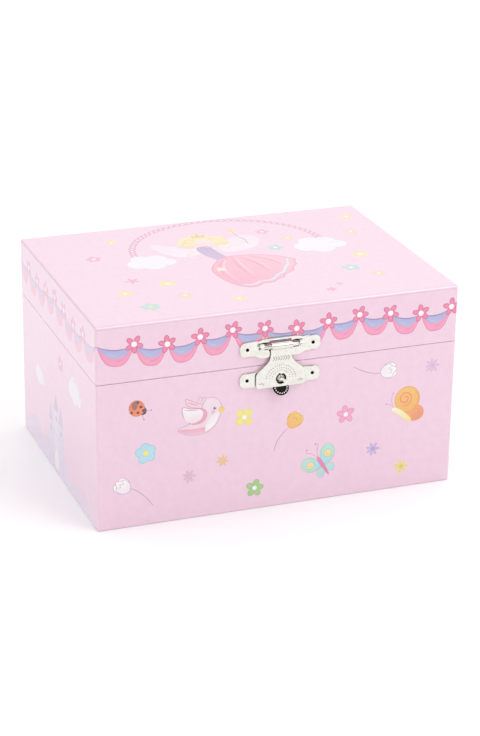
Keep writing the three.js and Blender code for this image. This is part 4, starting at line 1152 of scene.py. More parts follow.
def party_dancer(pen):
    """A simple faceless dancer in a wide skirt, with a wand: plain shapes and no features."""
    for wing in (
            [(-8, 19), (-14, 21), (-25, 30), (-27, 24), (-20, 12), (-10, 13)],
            [(0, 19), (6, 26), (16, 31), (20, 25), (15, 15), (2, 12)]):
        pen.framed(smooth(wing), print_ink("F3E3EE"), print_ink("EBD6E4"), 0.25, print_ink("F7F0F7"))
    pen.line([(13.5, 19.5), (13.8, 25), (12.4, 30), (12.2, 35)], 0.6, print_ink("B9A4B4"), 0.8)
    pen.fill(star((12.2, 36.8), 2.8, 5, 0.5, 80), SUN, LEMON)
    pen.line([(-4.6, 18.5), (2, 17.5), (8, 19.5), (13.4, 22.0)], 1.9, print_ink("F9E3D6"), 0.7)
    pen.line([(-9.0, 18.5), (-13.5, 15.5), (-15.5, 11.5), (-13.0, 7.5)], 1.8, print_ink("F9E3D6"), 0.7)
    pen.framed(smooth([
        (-8.8, 20.0), (-6.2, 20.9), (-3.8, 20.0), (-3.2, 16.0), (-2.4, 11.0), (-1.2, 5.6), (-2.6, 3.2),
        (-5.2, 3.4), (-7.2, 7.0), (-8.9, 12.0), (-9.6, 16.5)]), print_ink("A88CC2"), print_ink("8D74AC"),
        0.3, print_ink("B8A0D2"))
    skirt = smooth([
        (-4.6, 4.4), (0.0, 5.8), (5.0, 6.0), (12.0, 4.6), (19.5, 0.6), (23.0, -3.2), (24.8, -5.2),
        (23.4, -7.8), (23.2, -10.6), (21.6, -12.6), (20.2, -14.0), (19.4, -17.4), (16.6, -19.4),
        (14.0, -21.2), (12.4, -24.2), (9.4, -25.6), (6.6, -28.2), (3.2, -28.4), (0.2, -29.8), (-2.6, -31.2),
        (-5.8, -30.0), (-8.4, -27.0), (-10.6, -22.0), (-12.0, -14.0), (-12.0, -8.0), (-9.6, -2.6),
        (-6.6, 1.6)])
    pen.framed(skirt, print_ink("F58FAE"), print_ink("EB6E98"), 0.5, print_ink("F9B4C9"), (0.8, 0.6))
    for fold in (
            [(-3.0, 4.0), (-7.5, -4.0), (-9.0, -14.0), (-7.5, -24.0)],
            [(0.5, 4.4), (0.0, -6.0), (0.6, -18.0)],
            [(4.0, 4.8), (8.0, -4.0), (9.6, -16.0)], [(8.0, 4.8), (14.6, -2.0), (17.4, -9.0)]):
        pen.line(fold, 1.1, print_ink("F27DA2"), 0.2)
        pen.line([(x + 1.8, y + 0.4) for x, y in fold], 0.9, print_ink("FBC6D6"), 0.2)
    hem = smooth([
        (22.6, -3.0), (21.0, -6.6), (20.4, -9.6), (18.2, -12.4), (16.6, -15.4), (14.4, -18.6),
        (11.6, -20.6), (9.4, -23.2), (6.8, -25.6), (4.0, -25.8), (1.6, -26.0), (-0.6, -28.0), (-3.4, -28.6),
        (-6.4, -27.4)], 4, closed=False)
    pen.line(hem[::2], 1.5, print_ink("BFDCE8"), 0.7)
    pen.line(hem[::2], 0.6, print_ink("E4F2F6"), 0.7)
    pen.fill(smooth([
        (-9.0, -5.6), (-7.2, -5.8), (-6.2, -8.2), (-7.6, -10.0), (-8.8, -9.2), (-9.8, -10.2),
        (-10.2, -7.6)]), print_ink("FBE6D2"))
    for x, y, r in (
            (-9.2, 29.0, 5.2), (1.4, 28.0, 5.0), (-11.4, 25.6, 4.0), (2.8, 24.6, 3.8), (-4.0, 32.4, 5.0)):
        pen.fill(circle((x, y), r, 22), print_ink("F3DA6C"), print_ink("F9EFA9"), (0, 1))
    for x, y in ((-9.2, 28.6), (1.6, 27.6), (-11.2, 25.4)):
        curl = [(x + 2.6 * math.cos(a), y + 2.6 * math.sin(a)) for a in (0.5, 1.5, 2.5, 3.5, 4.5)]
        pen.line(curl, 0.5, print_ink("E9C84E"), 0.3)
    pen.fill(oval((-4.0, 27.0), 3.6, 4.4), print_ink("FBE8DC"), print_ink("F9DCCB"))
    pen.fill([(-6.6, 33.0), (-6.8, 36.6), (-5.0, 34.9), (-3.6, 38.0), (-2.2, 34.9), (-0.6, 36.6),
        (-1.0, 33.0)], AMBER, SUN)
    pen.line([(-4.2, 22.8), (-4.2, 21.2), (-5.0, 20.0)], 1.8, print_ink("F9DCCB"), 0.9)
    for x, y in ((-4.6, 20.8), (-2.0, 4.0)):
        pen.fill(circle((x, y), 0.8, 10), ROSE)


def scatter(inks, spots):
    """Small flowers, each (x, y, petals, colour, radius). Petals below 0 make a sparkle of that many rays."""
    for i, (x, y, petals, ink, radius) in enumerate(spots):
        pen = Pen(inks, (x, y), 31 * i)
        if petals > 0:
            blossom(pen, (0, 0), radius, petals, ink, LEMON if petals == 6 else WHITE, None, 0.26)
        else:
            sparkle(pen, ink, radius, -petals)


def front_picture(inks, at):
    """The scattered drawings of one long side, about the middle of its foot."""
    def pen(x, z, turn=0.0):
        return Pen(inks, (at + x, z), turn)

    ladybird(pen(-59.6, 50.6))
    bird(pen(-33.2, 43.6))
    blossom(
        pen(-56, 31), (0, 0), 4.2, 5, print_ink("B3E1EF"), LEMON, print_ink("8CCDE2"), 0.3, 100,
        print_ink("A0D8EA"), 0.86)
    pale, ash = print_ink("F6EDF4"), print_ink("BFA5B5")
    tulip(
        inks, (at - 65.5, 18), 50, WHITE, ash,
        [(at + x, z) for x, z in ((-62.6, 16.8), (-60, 15.6), (-56, 12), (-53, 8))], pale)
    blossom(
        pen(-15, 40.7), (0, 0), 4.1, 4, print_ink("F4E87C"), WHITE, print_ink("E6DC86"), 0.22, 45, None, 0.6)
    pen(-24, 23.3).fill(star((0, 0), 3.0, 7, 0.5), print_ink("F0C89C"), print_ink("EFBF92"))
    sparkle(pen(-38, 18.5), print_ink("E6B9D0"), 3.0, 7)
    blossom(
        pen(-10.3, 9.2), (0, 0), 3.7, 5, print_ink("A9D083"), WHITE, print_ink("93BE74"), 0.26, 80, None,
        0.62)
    tulip(
        inks, (at + 6.2, 36.4), -38, print_ink("F5CE62"), print_ink("DDA04C"),
        [(at + x, z) for x, z in ((3.4, 33.4), (0.6, 30.6), (-1.4, 27.4), (-2.3, 24))], AMBER)
    butterfly(pen(18.9, 15.2, 31))
    blossom(
        pen(28.5, 36), (0, 0), 3.8, 5, print_ink("F3A6CA"), WHITE, print_ink("E584B2"), 0.26, 95, None, 0.56)
    sparkle(pen(41, 19), print_ink("C9B4DE"), 3.2, 7, print_ink("B49CCF"))
    sparkle(pen(54, 9.3), print_ink("F0DC7C"), 3.2, 7, print_ink("E9C95C"))
    snail(pen(55.5, 39))
    tulip(
        inks, (at + 46.6, 52.6), -78, WHITE, ash,
        [(at + x, z) for x, z in ((43.4, 52), (39, 52.6), (35, 54.2), (31, 56.3))], pale)
    sparkle(pen(66, 52.5), print_ink("DFC0DC"), 3.4, 8, print_ink("D9B4D4"))


def side_picture(inks, at, mirrored=1):
    """The castle picture of one short side."""
    pen = Pen(inks, (at, 0.8))
    hills(Pen(inks, (at - 24 * mirrored, 0.8)), 24, 12, print_ink("DCCFEA"), print_ink("E6DDF0"))
    hills(Pen(inks, (at + 22 * mirrored, 0.8)), 26, 9, print_ink("E2D6EE"), print_ink("EADFF2"))
    castle(Pen(inks, (at - 1 * mirrored, 2.0)))
    pen.line([(-4 * mirrored, 0.6), (-8 * mirrored, -0.2)], 0.5, WHITE)
    for x, z, size in ((25 * mirrored, 47, 1.0), (-28 * mirrored, 34, 0.75)):
        cloud(Pen(inks, (at + x, z), 0, size),
            ((-5, 0, 3.2), (-1.6, 2.2, 4), (3, 1.4, 3.6), (6, -0.8, 2.8), (0, -1.6, 3.4)))
    blossom(Pen(inks, (at + 5 * mirrored, 52)), (0, 0), 3.2, 5, print_ink("EFA3C4"), WHITE,
        print_ink("E384AE"))


def top_picture(inks):
    """The picture on the lid: the dancer under a chain between two clouds, among scattered flowers."""
    chain_arch(Pen(inks), (4, 17), 41, 35.5, 2, 178, 2.9)
    cloud(Pen(inks, (-33, 9)), ((-5.4, -1, 4.6), (-2.6, 4, 4.4), (3.4, 3.4, 4.4), (6.8, -1, 3.8),
        (0.4, -3.4, 4.8)))
    cloud(Pen(inks, (41.5, 9), 0, 1.12), ((-5.4, -1, 4.6), (-2.0, 4, 4.4), (3.4, 3.2, 4.2), (6.6, -1, 3.8),
        (0, -3.4, 4.8)))
    party_dancer(Pen(inks))
    pale_yellow, pale_ochre, pale_teal = print_ink("F3E38C"), print_ink("EFD79E"), print_ink("A8DAD3")
    scatter(inks, [
        (-54, 20, 5, print_ink("EF9FC1"), 3.4), (-34.5, -17, 4, pale_yellow, 3.8),
        (-54, -23, 5, pale_yellow, 3.4), (-32, -32, 5, pale_ochre, 3.0),
        (-49, -40, 6, pale_teal, 4.2), (-13, -42, 5, pale_yellow, 3.2),
        (51, -32, 5, pale_ochre, 3.0), (43, -22, 5, pale_teal, 3.8), (53, -8, 4, pale_yellow, 3.8),
        (61, 21, 5, pale_ochre, 3.2), (67, 40, 5, pale_yellow, 3.0), (24.5, 32, 5, print_ink("EF9FC1"), 3.2),
        (32, 21, 5, pale_ochre, 2.8), (22.5, 11, 5, pale_teal, 3.6), (-41, 38, 5, pale_yellow, 2.8),
        (-47, -10, -5, print_ink("EE93BA"), 3.4), (25.5, -43.5, -6, print_ink("EE93BA"), 2.6),
        (31, -38.5, -5, print_ink("F0A6C6"), 2.2)])


# ------------------------------------------------------------------ the two covers

wrap = Wrap(HALF_X, HALF_Y, CORNER_R)
SIDE = wrap.pitch  # from the middle of one side to the middle of the next, round the corner
SIDES = range(-1, 3)  # left, front, right, back; the front and the back are the even ones
GARLAND_PITCH = 13.37
FRONT_FLOWERS = (HALF_X, -60.5, 75.0)  # half the side, the first flower, and where the flowers end
SIDE_FLOWERS = (HALF_Y, -42.0, 50.0)
SIDE_GLARE_WASH = 0.45  # how far the inks of each part are mixed towards the paper; on the short sides this paleness is painted glare
# The castles on the base's short sides are washed paler by this share: painted glare.
CASTLE_GLARE_WASH = 0.28
TOP_WASH = 0.22
# Painted light on the lid's rounded top edge: a pale painted highlight over a painted shade line on the long
# sides, and a painted shade band on the short sides.
LONG_EDGE_HIGHLIGHT_AND_SHADE = ((0.75, 0.35, print_ink("FDF0F7")), (1.4, 0.22, print_ink("E3B8CB")))
SHORT_EDGE_SHADE = ((0.95, 0.85, print_ink("E6BFD2")),)


def base_print():
    """The inks round the base: the scattered drawings, and a castle on each short side, washed paler as
    painted glare.
    """
    inks, castles = [], []
    side_picture(castles, SIDE, -1)
    side_picture(castles, -SIDE)
    front_picture(inks, 0)
    front_picture(inks, 2 * SIDE)
    # The castles are washed paler: painted glare on the short sides.
    return inks + washed(castles, CASTLE_GLARE_WASH)


def lid_print():
    """The inks round the lid: the garland, washed paler on the short sides as painted glare, and thin lines
    along the top edge, each (drop, width, ink), which are a painted highlight and painted shade on its
    rounded edge.
    """
    inks = []
    for side in SIDES:
        hung = []
        garland(hung, side * SIDE, *(SIDE_FLOWERS if side % 2 else FRONT_FLOWERS), GARLAND_PITCH)
        # The short sides' garland is washed paler: painted glare.
        inks += washed(hung, SIDE_GLARE_WASH) if side % 2 else hung
    rim = Pen(inks)
    for side in SIDES:
        half = HALF_Y if side % 2 else HALF_X
        for drop, width, ink in SHORT_EDGE_SHADE if side % 2 else LONG_EDGE_HIGHLIGHT_AND_SHADE:
            low, left, right = lid_high.z - drop, side * SIDE - half, side * SIDE + half
            rim.fill([(left, low), (right, low), (right, low + width), (left, low + width)], ink)
    return inks


def top_print():
    """The inks of the picture on the lid."""
    inks = []
    top_picture(inks)
    return washed(inks, TOP_WASH)


def base_cover():
    """The printed paper over the base, folded in over the rim and under the foot of its walls."""
    mouth = base_high.z + RIM_REACH
    climb = Climb(base_low.z, mouth, RIM_R, MOUTH_INSET, RIM_R, RIM_R)
    key_hole = circle((2 * SIDE - KEY_AT.x, KEY_AT.z), KEY_HOLE_R, 28)
    outside = sleeve(wrap, climb, base_print(), [key_hole])
    inner_top = base_high.z - PAPER
    rows = [(MOUTH_INSET, mouth), (MOUTH_INSET, inner_top), (PAPER, inner_top), (PAPER, base_low.z),
            (RIM_R, base_low.z)]
    printed_piece("base_cover", [outside, ring_rows(wrap, rows)], "base_paper", "base")


def lid_cover():
    """The printed paper over the lid, folded in over its rim, with the picture on top."""
    mouth = lid_low.z - RIM_REACH
    climb = Climb(mouth, lid_high.z, MOUTH_INSET, CORNER_R, RIM_R, CORNER_R)
    outside = sleeve(wrap, climb, lid_print())
    panel = flat_panel(HALF_X - CORNER_R, HALF_Y - CORNER_R, lid_high.z, top_print())
    ceiling = flat_panel(HALF_X - PAPER, HALF_Y - PAPER, lid_high.z - PAPER, [], -1)
    inner_rim = lid_low.z + PAPER
    rows = [(PAPER, lid_high.z - PAPER), (PAPER, inner_rim), (MOUTH_INSET, inner_rim), (MOUTH_INSET, mouth)]
    printed_piece("lid_cover", [outside, panel, ceiling, ring_rows(wrap, rows)], "lid_paper", "lid")


base_cover()
lid_cover()

# ------------------------------------------------------------------ the hasp and the hinges


def edge_distance(points, outlines):
    """How far each point of a flat sheet is from the nearest of its edges."""
    best = np.full(len(points), 1e9)
    for outline in outlines:
        for a, b in zip(outline, outline[1:] + outline[:1]):
            a, b = np.array(a), np.array(b)
            run = b - a
            length = run @ run
            if length == 0:
                continue
            share = np.clip((points - a) @ run / length, 0, 1)
            best = np.minimum(best, np.linalg.norm(points - a - share[:, None] * run, axis=1))
    return best


def inset_points(outline, depth):
    """Points just inside an outline, so that the rounding of its edge has something to bend."""
    sign = 1 if turns_right(outline) else -1
    out = []
    count = len(outline)
    for i, p in enumerate(outline):
        a, b = Vector(outline[i - 1]), Vector(outline[(i + 1) % count])
        side = Vector((b.y - a.y, a.x - b.x)).normalized() * (depth * sign)
        out.append((p[0] + side.x, p[1] + side.y))
    return out


def stamped(outline, back, thickness, relief=None, holes=(), pitch=0.45, edge=0.2, facing=-1):
    """A stamped sheet seen from the front, X across and Z up. relief(x, z) is its height over its face."""
    xs, zs = [p[0] for p in outline], [p[1] for p in outline]
    row_pitch = pitch * 0.87  # rows of equal triangles
    extra = []
    for row in range(1, int((max(zs) - min(zs)) / row_pitch) + 1):
        z = min(zs) + row * row_pitch
        x = min(xs) + (row % 2) * pitch / 2
        while x < max(xs):
            extra.append((x, z))
            x += pitch
    inside = winding(np.array(extra), outline) != 0
    clear = edge_distance(np.array(extra), [outline, *holes]) > pitch * 0.45
    extra = [p for p, keep, free in zip(extra, inside, clear) if keep and free]
    for depth in (edge * 0.3, edge):
        extra += inset_points(outline, depth)
    for hole in holes:
        extra += inset_points(hole, -edge)
    place, index, _ = cut_sheet(outline, [], [], holes, extra)
    near = np.clip(edge_distance(place, [outline, *holes]) / edge, 0, 1)
    height = thickness - edge * (1 - np.sqrt(1 - (1 - near) ** 2)) * 0.8
    front = []
    for (x, z), rise in zip(place, height):
        rise += relief(x, z) if relief else 0
        front.append((x, back + facing * rise, z))
    if facing > 0:
        index = index[:, ::-1]
    return closed_sheet(front, [(x, back, z) for x, z in place], index)


def ring_bar(axis_at, low, high, outer, inner, start=0.0, sweep=360.0, chamfer=0.12, steps=36):
    """A bar along X round a pin, with a bore. A sweep under 360 degrees leaves a slit."""
    section = [
        (low, outer - chamfer), (low + chamfer, outer), (high - chamfer, outer), (high, outer - chamfer),
        (high, inner), (low, inner)]
    points = []
    whole = sweep >= 360
    rows = steps if whole else steps + 1
    for step in range(rows):
        angle = math.radians(start + sweep * step / steps)
        for x, radius in section:
            points.append((x, axis_at[0] + radius * math.cos(angle), axis_at[1] + radius * math.sin(angle)))
    faces = grid_faces(rows, len(section), close_rows=whole, close_columns=True)
    faces = [face[::-1] for face in faces]
    if not whole:
        faces.append(list(range(len(section))))
        faces.append([(rows - 1) * len(section) + i for i in range(len(section))][::-1])
    return points, faces


def mirrored(half, centre_x):
    """A closed outline from its right half, which is drawn about x = 0."""
    return [(centre_x + x, z) for x, z in half] + [(centre_x - x, z) for x, z in half[::-1]]


def arc(centre, radius, start, stop, steps=8):
    """Points along part of a circle, between two angles in degrees."""
    out = []
    for i in range(steps + 1):
        angle = math.radians(start + (stop - start) * i / steps)
        out.append((centre[0] + radius * math.cos(angle), centre[1] + radius * math.sin(angle)))
    return out


def groove(x, z, a, b, width, depth):
    """The height of a soft line pressed into a sheet from a to b, or raised if depth is below 0."""
    run = (b[0] - a[0], b[1] - a[1])
    share = ((x - a[0]) * run[0] + (z - a[1]) * run[1]) / (run[0] ** 2 + run[1] ** 2)
    share = min(max(share, 0), 1)
    off = math.hypot(x - a[0] - share * run[0], z - a[1] - share * run[1])
    return -depth * math.exp(-((off / width) ** 2))


plate_high = corners("hasp_plate")[1]
catch_low, catch_high = corners("catch_plate")
pin_at = middle("hasp_pin")
hasp_nail = middle("hasp_nail_right")
catch_nail = middle("catch_nail_right")
HASP_X = pin_at.x
NAIL_REACH = hasp_nail.x - HASP_X
PLATE_BACK = plate_high.y
PLATE_T = 0.7
FLAP_T = 0.6
PLATE_HALF = 9.6
PLATE_FOOT = 65.0
CATCH_HALF = 9.8
LOBE_R = 2.3
LOBE_HALF = 3.1
STRAPS = ((-9.0, -7.5), (7.5, 9.0))
PIN_R = 0.8
PIN_BORE = 0.88
CURL_R = 1.5
FLAP_BACK = -HALF_Y - 1.2
FLAP_NECK = 4.3
FLAP_FOOT = 52.7
FLAP_HALF = 10.4
FLAP_CORNER_R = 1.4
BOSS_Z = 56.3
TAB_R = 3.3
TAB_DROP = 0.6
TAB_BEND = math.radians(35)
TAB_BEADS = 9
TAB_BEAD_RING = 2.55
NAIL_SEAT = 0.12  # how deep a nail's head sits in the dish of its plate


def plate_outline(z, body_half, top, bottom):
    """A plate with a lobe for a nail at each end."""
    lobe_x = NAIL_REACH + LOBE_HALF - LOBE_R
    rise = LOBE_HALF - LOBE_R
    half = [(body_half - 3.4, top)]
    half += smooth([
        (body_half - 2.2, top - 0.1), (body_half - 0.4, top - 0.7), (body_half + 0.5, z + LOBE_HALF + 0.15)],
        5, closed=False)
    half += arc((lobe_x, z + rise), LOBE_R, 90, 0)
    half += arc((lobe_x, z - rise), LOBE_R, 0, -90)
    half += smooth([
        (body_half + 0.5, z - LOBE_HALF - 0.1), (body_half - 0.4, bottom + 0.6), (body_half - 2.4, bottom)],
        5, closed=False)
    return mirrored(half, HASP_X)


def nail_dish(x, z, nail_z):
    """The shallow dish round each nail."""
    off = math.hypot(abs(x - HASP_X) - NAIL_REACH, z - nail_z)
    return -0.22 * math.exp(-((off / 0.95) ** 2))


def hasp_plate():
    """The upper plate, its window, and the two raised straps that hold the ends of the pin."""
    def relief(x, z):
        height = nail_dish(x, z, hasp_nail.z)
        side = abs(x - HASP_X)
        for line in range(3):
            inner = (5.2 + 0.7 * line, 66.1 + 0.35 * line)
            outer = (9.6 + line, 66.6 + 0.5 * line)
            height += groove(side, z, inner, outer, 0.16, 0.1)
        return height

    window = [(HASP_X + x, pin_at.z + z) for x, z in (
        (-8.7, -1.0), (-4.65, -1.0), (-4.65, -2.0), (4.65, -2.0), (4.65, -1.0), (8.7, -1.0), (8.7, 1.1),
        (4.65, 1.1), (4.3, 2.0), (-4.3, 2.0), (-4.65, 1.1), (-8.7, 1.1))]
    outline = plate_outline(hasp_nail.z, PLATE_HALF, plate_high.z, PLATE_FOOT)
    sheet = stamped(outline, PLATE_BACK, PLATE_T, relief, [window])
    at = (pin_at.y, pin_at.z)
    straps = [ring_bar(at, HASP_X + a, HASP_X + b, CURL_R, PIN_BORE, -75, 285, steps=28) for a, b in STRAPS]
    feet = []
    for a, b in STRAPS:
        front_foot = (HASP_X + a, PLATE_BACK - PLATE_T - 0.5, pin_at.z - 1.5)
        back_head = (HASP_X + b, PLATE_BACK - 0.2, pin_at.z - 0.95)
        feet.append(slab_between(front_foot, back_head))
    points, faces = merged(sheet, *straps, *feet)
    centres = np.array([np.mean([(points[i][0], points[i][2]) for i in face], axis=0) for face in faces])
    # Painted shadow: the plate's faces along the side slots of its window get the dark material.
    painted_slot_shade = (edge_distance(centres, [window]) < 0.42) & (np.abs(centres[:, 0] - HASP_X) > 5.2)
    painted_slot_shade &= np.arange(len(faces)) < len(sheet[1])
    obj = add_mesh("hasp_plate_stamped", points, faces, [NICKEL, DARK_NICKEL_AND_PAINTED_SHADE], "lid", ["hasp_plate"],
        "nickel_plate", painted_slot_shade.astype(int).tolist())
    sharpen(obj, 40)


def pin(node, body):
    """A plated pin along X with domed ends, in place of a CAD one."""
    low, high = corners(node)
    at = middle(node)
    at.x = 0
    dome = PIN_R * 0.5
    half = [(PIN_R, -dome), (PIN_R * 0.8, -dome * 0.35), (PIN_R * 0.35, 0)]
    profile = [(radius, low.x - step) for radius, step in half[::-1]]
    profile += [(radius, high.x + step) for radius, step in half]
    obj = add_mesh(f"{node}_turned", *lathe(profile, 20, along("x", at)), NICKEL, body, [node],
        "nickel_plate")
    sharpen(obj, 50)


def hasp_flap():
    """The flap: a curl round the pin, a waist, a flared foot with ornament, a boss, and a lift tab."""
    marks = []
    for mark in range(-3, 4):
        x = HASP_X + mark * 1.05
        marks += [((x - 0.3, 65.7), (x + 0.35, 64.85)), ((x + 0.35, 64.85), (x - 0.3, 64.0))]
    for side in (-1, 1):
        for vein in range(2):
            marks.append(((HASP_X + side * (7.4 + vein), 54.3 + 0.3 * vein),
                          (HASP_X + side * (8.2 + vein), 55.2 - 0.3 * vein)))

    def pressed(x, z):
        """The depth of the ornament: chevrons at the waist, beaded arcs over the boss, veins at the foot."""
        depth = max(-groove(x, z, a, b, 0.19, 0.13) for a, b in marks)
        off = math.hypot(x - HASP_X, (z - BOSS_Z) * 1.1)
        if z > BOSS_Z:
            for ring in (3.7, 4.9, 6.1):
                beads = 0.5 + 0.5 * math.cos(math.atan2(z - BOSS_Z, x - HASP_X) * round(ring * 6))
                depth = max(depth, 0.11 * beads * math.exp(-(((off - ring) / 0.26) ** 2)))
        return depth

    def relief(x, z):
        off = math.hypot(x - HASP_X, z - BOSS_Z)
        rim = 0.42 * math.exp(-(((off - 1.95) / 0.3) ** 2))
        dome = 0.5 * math.sqrt(max(1 - (off / 1.25) ** 2, 0))
        moat = -0.12 * math.exp(-(((off - 1.45) / 0.18) ** 2))
        return rim + dome + moat - pressed(x, z)

    def shaded(x, z):
        """True in the painted shadow ring round the boss, open at its lower right, and in the comma inside,
        which is a painted dark reflection.
        """
        off = math.hypot(x - HASP_X, z - BOSS_Z)
        angle = math.degrees(math.atan2(z - BOSS_Z, x - HASP_X))
        ring = 1.45 < off < 2.2 and not -58 < angle < -20
        comma = 0.5 < off < 0.85 and 0 < angle < 200
        return ring or comma

    half = [(FLAP_NECK, pin_at.z - 1.2), (FLAP_NECK, 67.6), (FLAP_NECK, 66.2)]
    half += smooth([(4.45, 65.2), (5.2, 63.6), (6.9, 61.9), (8.7, 60.4), (9.9, 59.1), (FLAP_HALF, 58.0)], 4,
        False)
    half += arc((FLAP_HALF - FLAP_CORNER_R, FLAP_FOOT + FLAP_CORNER_R), FLAP_CORNER_R, 0, -90)
    half += [(x, FLAP_FOOT) for x in (7, 5, TAB_R)]
    sheet = stamped(mirrored(half, HASP_X), FLAP_BACK, FLAP_T, relief, pitch=0.17, edge=0.16)
    at = (pin_at.y, pin_at.z)
    curl = ring_bar(at, HASP_X - FLAP_NECK, HASP_X + FLAP_NECK, CURL_R, PIN_BORE, -80, 352, steps=40)

    def bent(p):
        """From the tab's own plane, hanging from its bend, to its place under the flap."""
        x, out, z = p
        return (
            HASP_X + x, FLAP_BACK - out * math.cos(TAB_BEND) + z * math.sin(TAB_BEND),
            FLAP_FOOT + 0.1 + z * math.cos(TAB_BEND) + out * math.sin(TAB_BEND))

    edge = [(-TAB_R, 0.2)] + arc((0, -TAB_DROP), TAB_R, 180, 360, 24) + [(TAB_R, 0.2)]
    levels = ((1.0, 0.0), (1.0, FLAP_T * 0.8), (0.97, FLAP_T), (0.86, FLAP_T), (0.82, FLAP_T * 0.75))
    rim_points = []
    for share, out in levels:
        for x, z in edge:
            rim_points.append(bent((x * share, out, (z + TAB_DROP) * share - TAB_DROP if z < 0.1 else z)))
    rim_faces = grid_faces(len(levels), len(edge), close_columns=True) + ends(len(levels), len(edge))
    beads = []
    for x, z in arc((0, -TAB_DROP), TAB_BEAD_RING, 186, 354, TAB_BEADS - 1):
        beads.append(ball(0.36, bent((x, FLAP_T * 0.7, z)), 6, 10))
    points, faces = merged(sheet, curl, *beads, (rim_points, rim_faces))
    # Painted light on the flap: a painted shadow ring and a painted dark reflection round the boss, and
    # painted shade in the pressed ornament.
    looks = []
    for face in sheet[1]:
        x, _, z = np.mean([points[i] for i in face], axis=0)
        looks.append(1 if shaded(x, z) else 2 if pressed(x, z) > 0.05 else 0)
    # The lift tab's body gets the dark material: a painted dark reflection of the room below it.
    looks += [0] * (len(faces) - len(looks) - len(rim_faces)) + [1] * len(rim_faces)
    obj = add_mesh("hasp_flap_stamped", points, faces, [NICKEL, DARK_NICKEL_AND_PAINTED_SHADE, PAINTED_GROOVE_SHADE], "hasp", ["hasp_flap"],
                   "nickel_plate", looks)
    sharpen(obj, 40)


def catch_plate():
    """The lower plate, with the knob that the flap's boss snaps over."""
    def relief(x, z):
        return nail_dish(x, z, catch_nail.z)

    outline = plate_outline(catch_nail.z, CATCH_HALF, catch_high.z, catch_low.z)
    sheet = stamped(outline, PLATE_BACK, PLATE_T, relief)
    at = (HASP_X, PLATE_BACK - PLATE_T, BOSS_Z)
    knob = lathe([(1.4, -0.3), (1.3, 0.1), (0.95, 0.3), (0.4, 0.36)], 18, along("y", at, -1))
    obj = add_mesh("catch_plate_stamped", *merged(sheet, knob), NICKEL, "base", ["catch_plate"],
        "nickel_plate")
    sharpen(obj, 40)


def nail(name, replaced, body, at, facing=-1, radius=0.72):
    """A round-headed nail, seated in the dish of its plate. at is the middle of the back of its head."""
    shank = 0.4
    profile = [(shank, -2.2), (shank, -0.1), (radius, -0.06), (radius * 0.96, 0.1), (radius * 0.72, 0.24),
               (radius * 0.3, 0.31)]
    obj = add_mesh(name, *lathe(profile, 16, along("y", at, facing)), DARK_NICKEL_AND_PAINTED_SHADE, body, replaced,
        "nickel_plate")
    sharpen(obj, 60)


def hasp():
    hasp_plate()
    hasp_flap()
    catch_plate()
    pin("hasp_pin", "lid")
    head_back = PLATE_BACK - PLATE_T + NAIL_SEAT
    for plate, z, body in (("hasp", hasp_nail.z, "lid"), ("catch", catch_nail.z, "base")):
        for side, sign in (("left", -1), ("right", 1)):
            at = (HASP_X + sign * NAIL_REACH, head_back, z)
            nail(f"{plate}_nail_head_{side}", [f"{plate}_nail_{side}"], body, at)


hasp()


HINGE_HALF = 12.0
HINGE_R = 1.7
HINGE_LEAF_T = 0.8
HINGE_SLACK = 0.1
KNUCKLE_HALF = 4.0  # half of the middle knuckle and its slack
HINGE_CORNER_R = 1.6


def hinge_leaf(side, up):
    """One nailed leaf of a hinge, with its share of the knuckles. up is 1 for the lid's leaf."""
    body = "lid" if up > 0 else "base"
    node = f"hinge_{side}_{body}_leaf"
    low, high = corners(node)
    at = middle(f"hinge_{side}_pin")
    near = at.z + up * 0.3
    far = high.z if up > 0 else low.z
    corner = (HINGE_HALF - HINGE_CORNER_R, far - up * HINGE_CORNER_R)
    rounded = arc(corner, HINGE_CORNER_R, 0, 90 * up, 6)
    if up > 0:
        inner, outer = -KNUCKLE_HALF + HINGE_SLACK, KNUCKLE_HALF - HINGE_SLACK
        half = [(outer, near), (outer, near + 1.9), (HINGE_HALF, near + 2.0)]
        spans = [(inner, outer)]
    else:
        inner = KNUCKLE_HALF + HINGE_SLACK
        half = [(inner, near - 2.0), (inner, near), (HINGE_HALF, near)]
        spans = [(-HINGE_HALF, -inner), (inner, HINGE_HALF)]
    spots = [(at.x + sign * 8.2, at.z + up * 7.6) for sign in (-1, 1)] + [(at.x, at.z + up * 9.6)]

    def relief(x, z):
        return -0.2 * sum(math.exp(-(math.hypot(x - a, z - b) ** 2)) for a, b in spots)

    outline = mirrored(half + rounded, at.x)
    sheet = stamped(outline, low.y, HINGE_LEAF_T, relief, pitch=0.6, edge=0.15, facing=1)
    axis = (at.y, at.z)
    knuckles = [ring_bar(axis, at.x + a, at.x + b, HINGE_R, PIN_BORE, chamfer=0.15) for a, b in spans]
    pressing = merged(sheet, *knuckles)
    obj = add_mesh(f"hinge_{side}_{body}_pressing", *pressing, NICKEL, body, [node], "nickel_plate")
    sharpen(obj, 40)
    head_back = low.y + HINGE_LEAF_T - NAIL_SEAT
    for i, (x, z) in enumerate(spots, 1):
        nail(f"hinge_{side}_{body}_nail_{i}", (), body, (x, head_back, z), 1, 0.75)


def hinges():
    for side in ("left", "right"):
        for up in (-1, 1):
            hinge_leaf(side, up)
        pin(f"hinge_{side}_pin", "base")


hinges()

# ------------------------------------------------------------------ the winding key


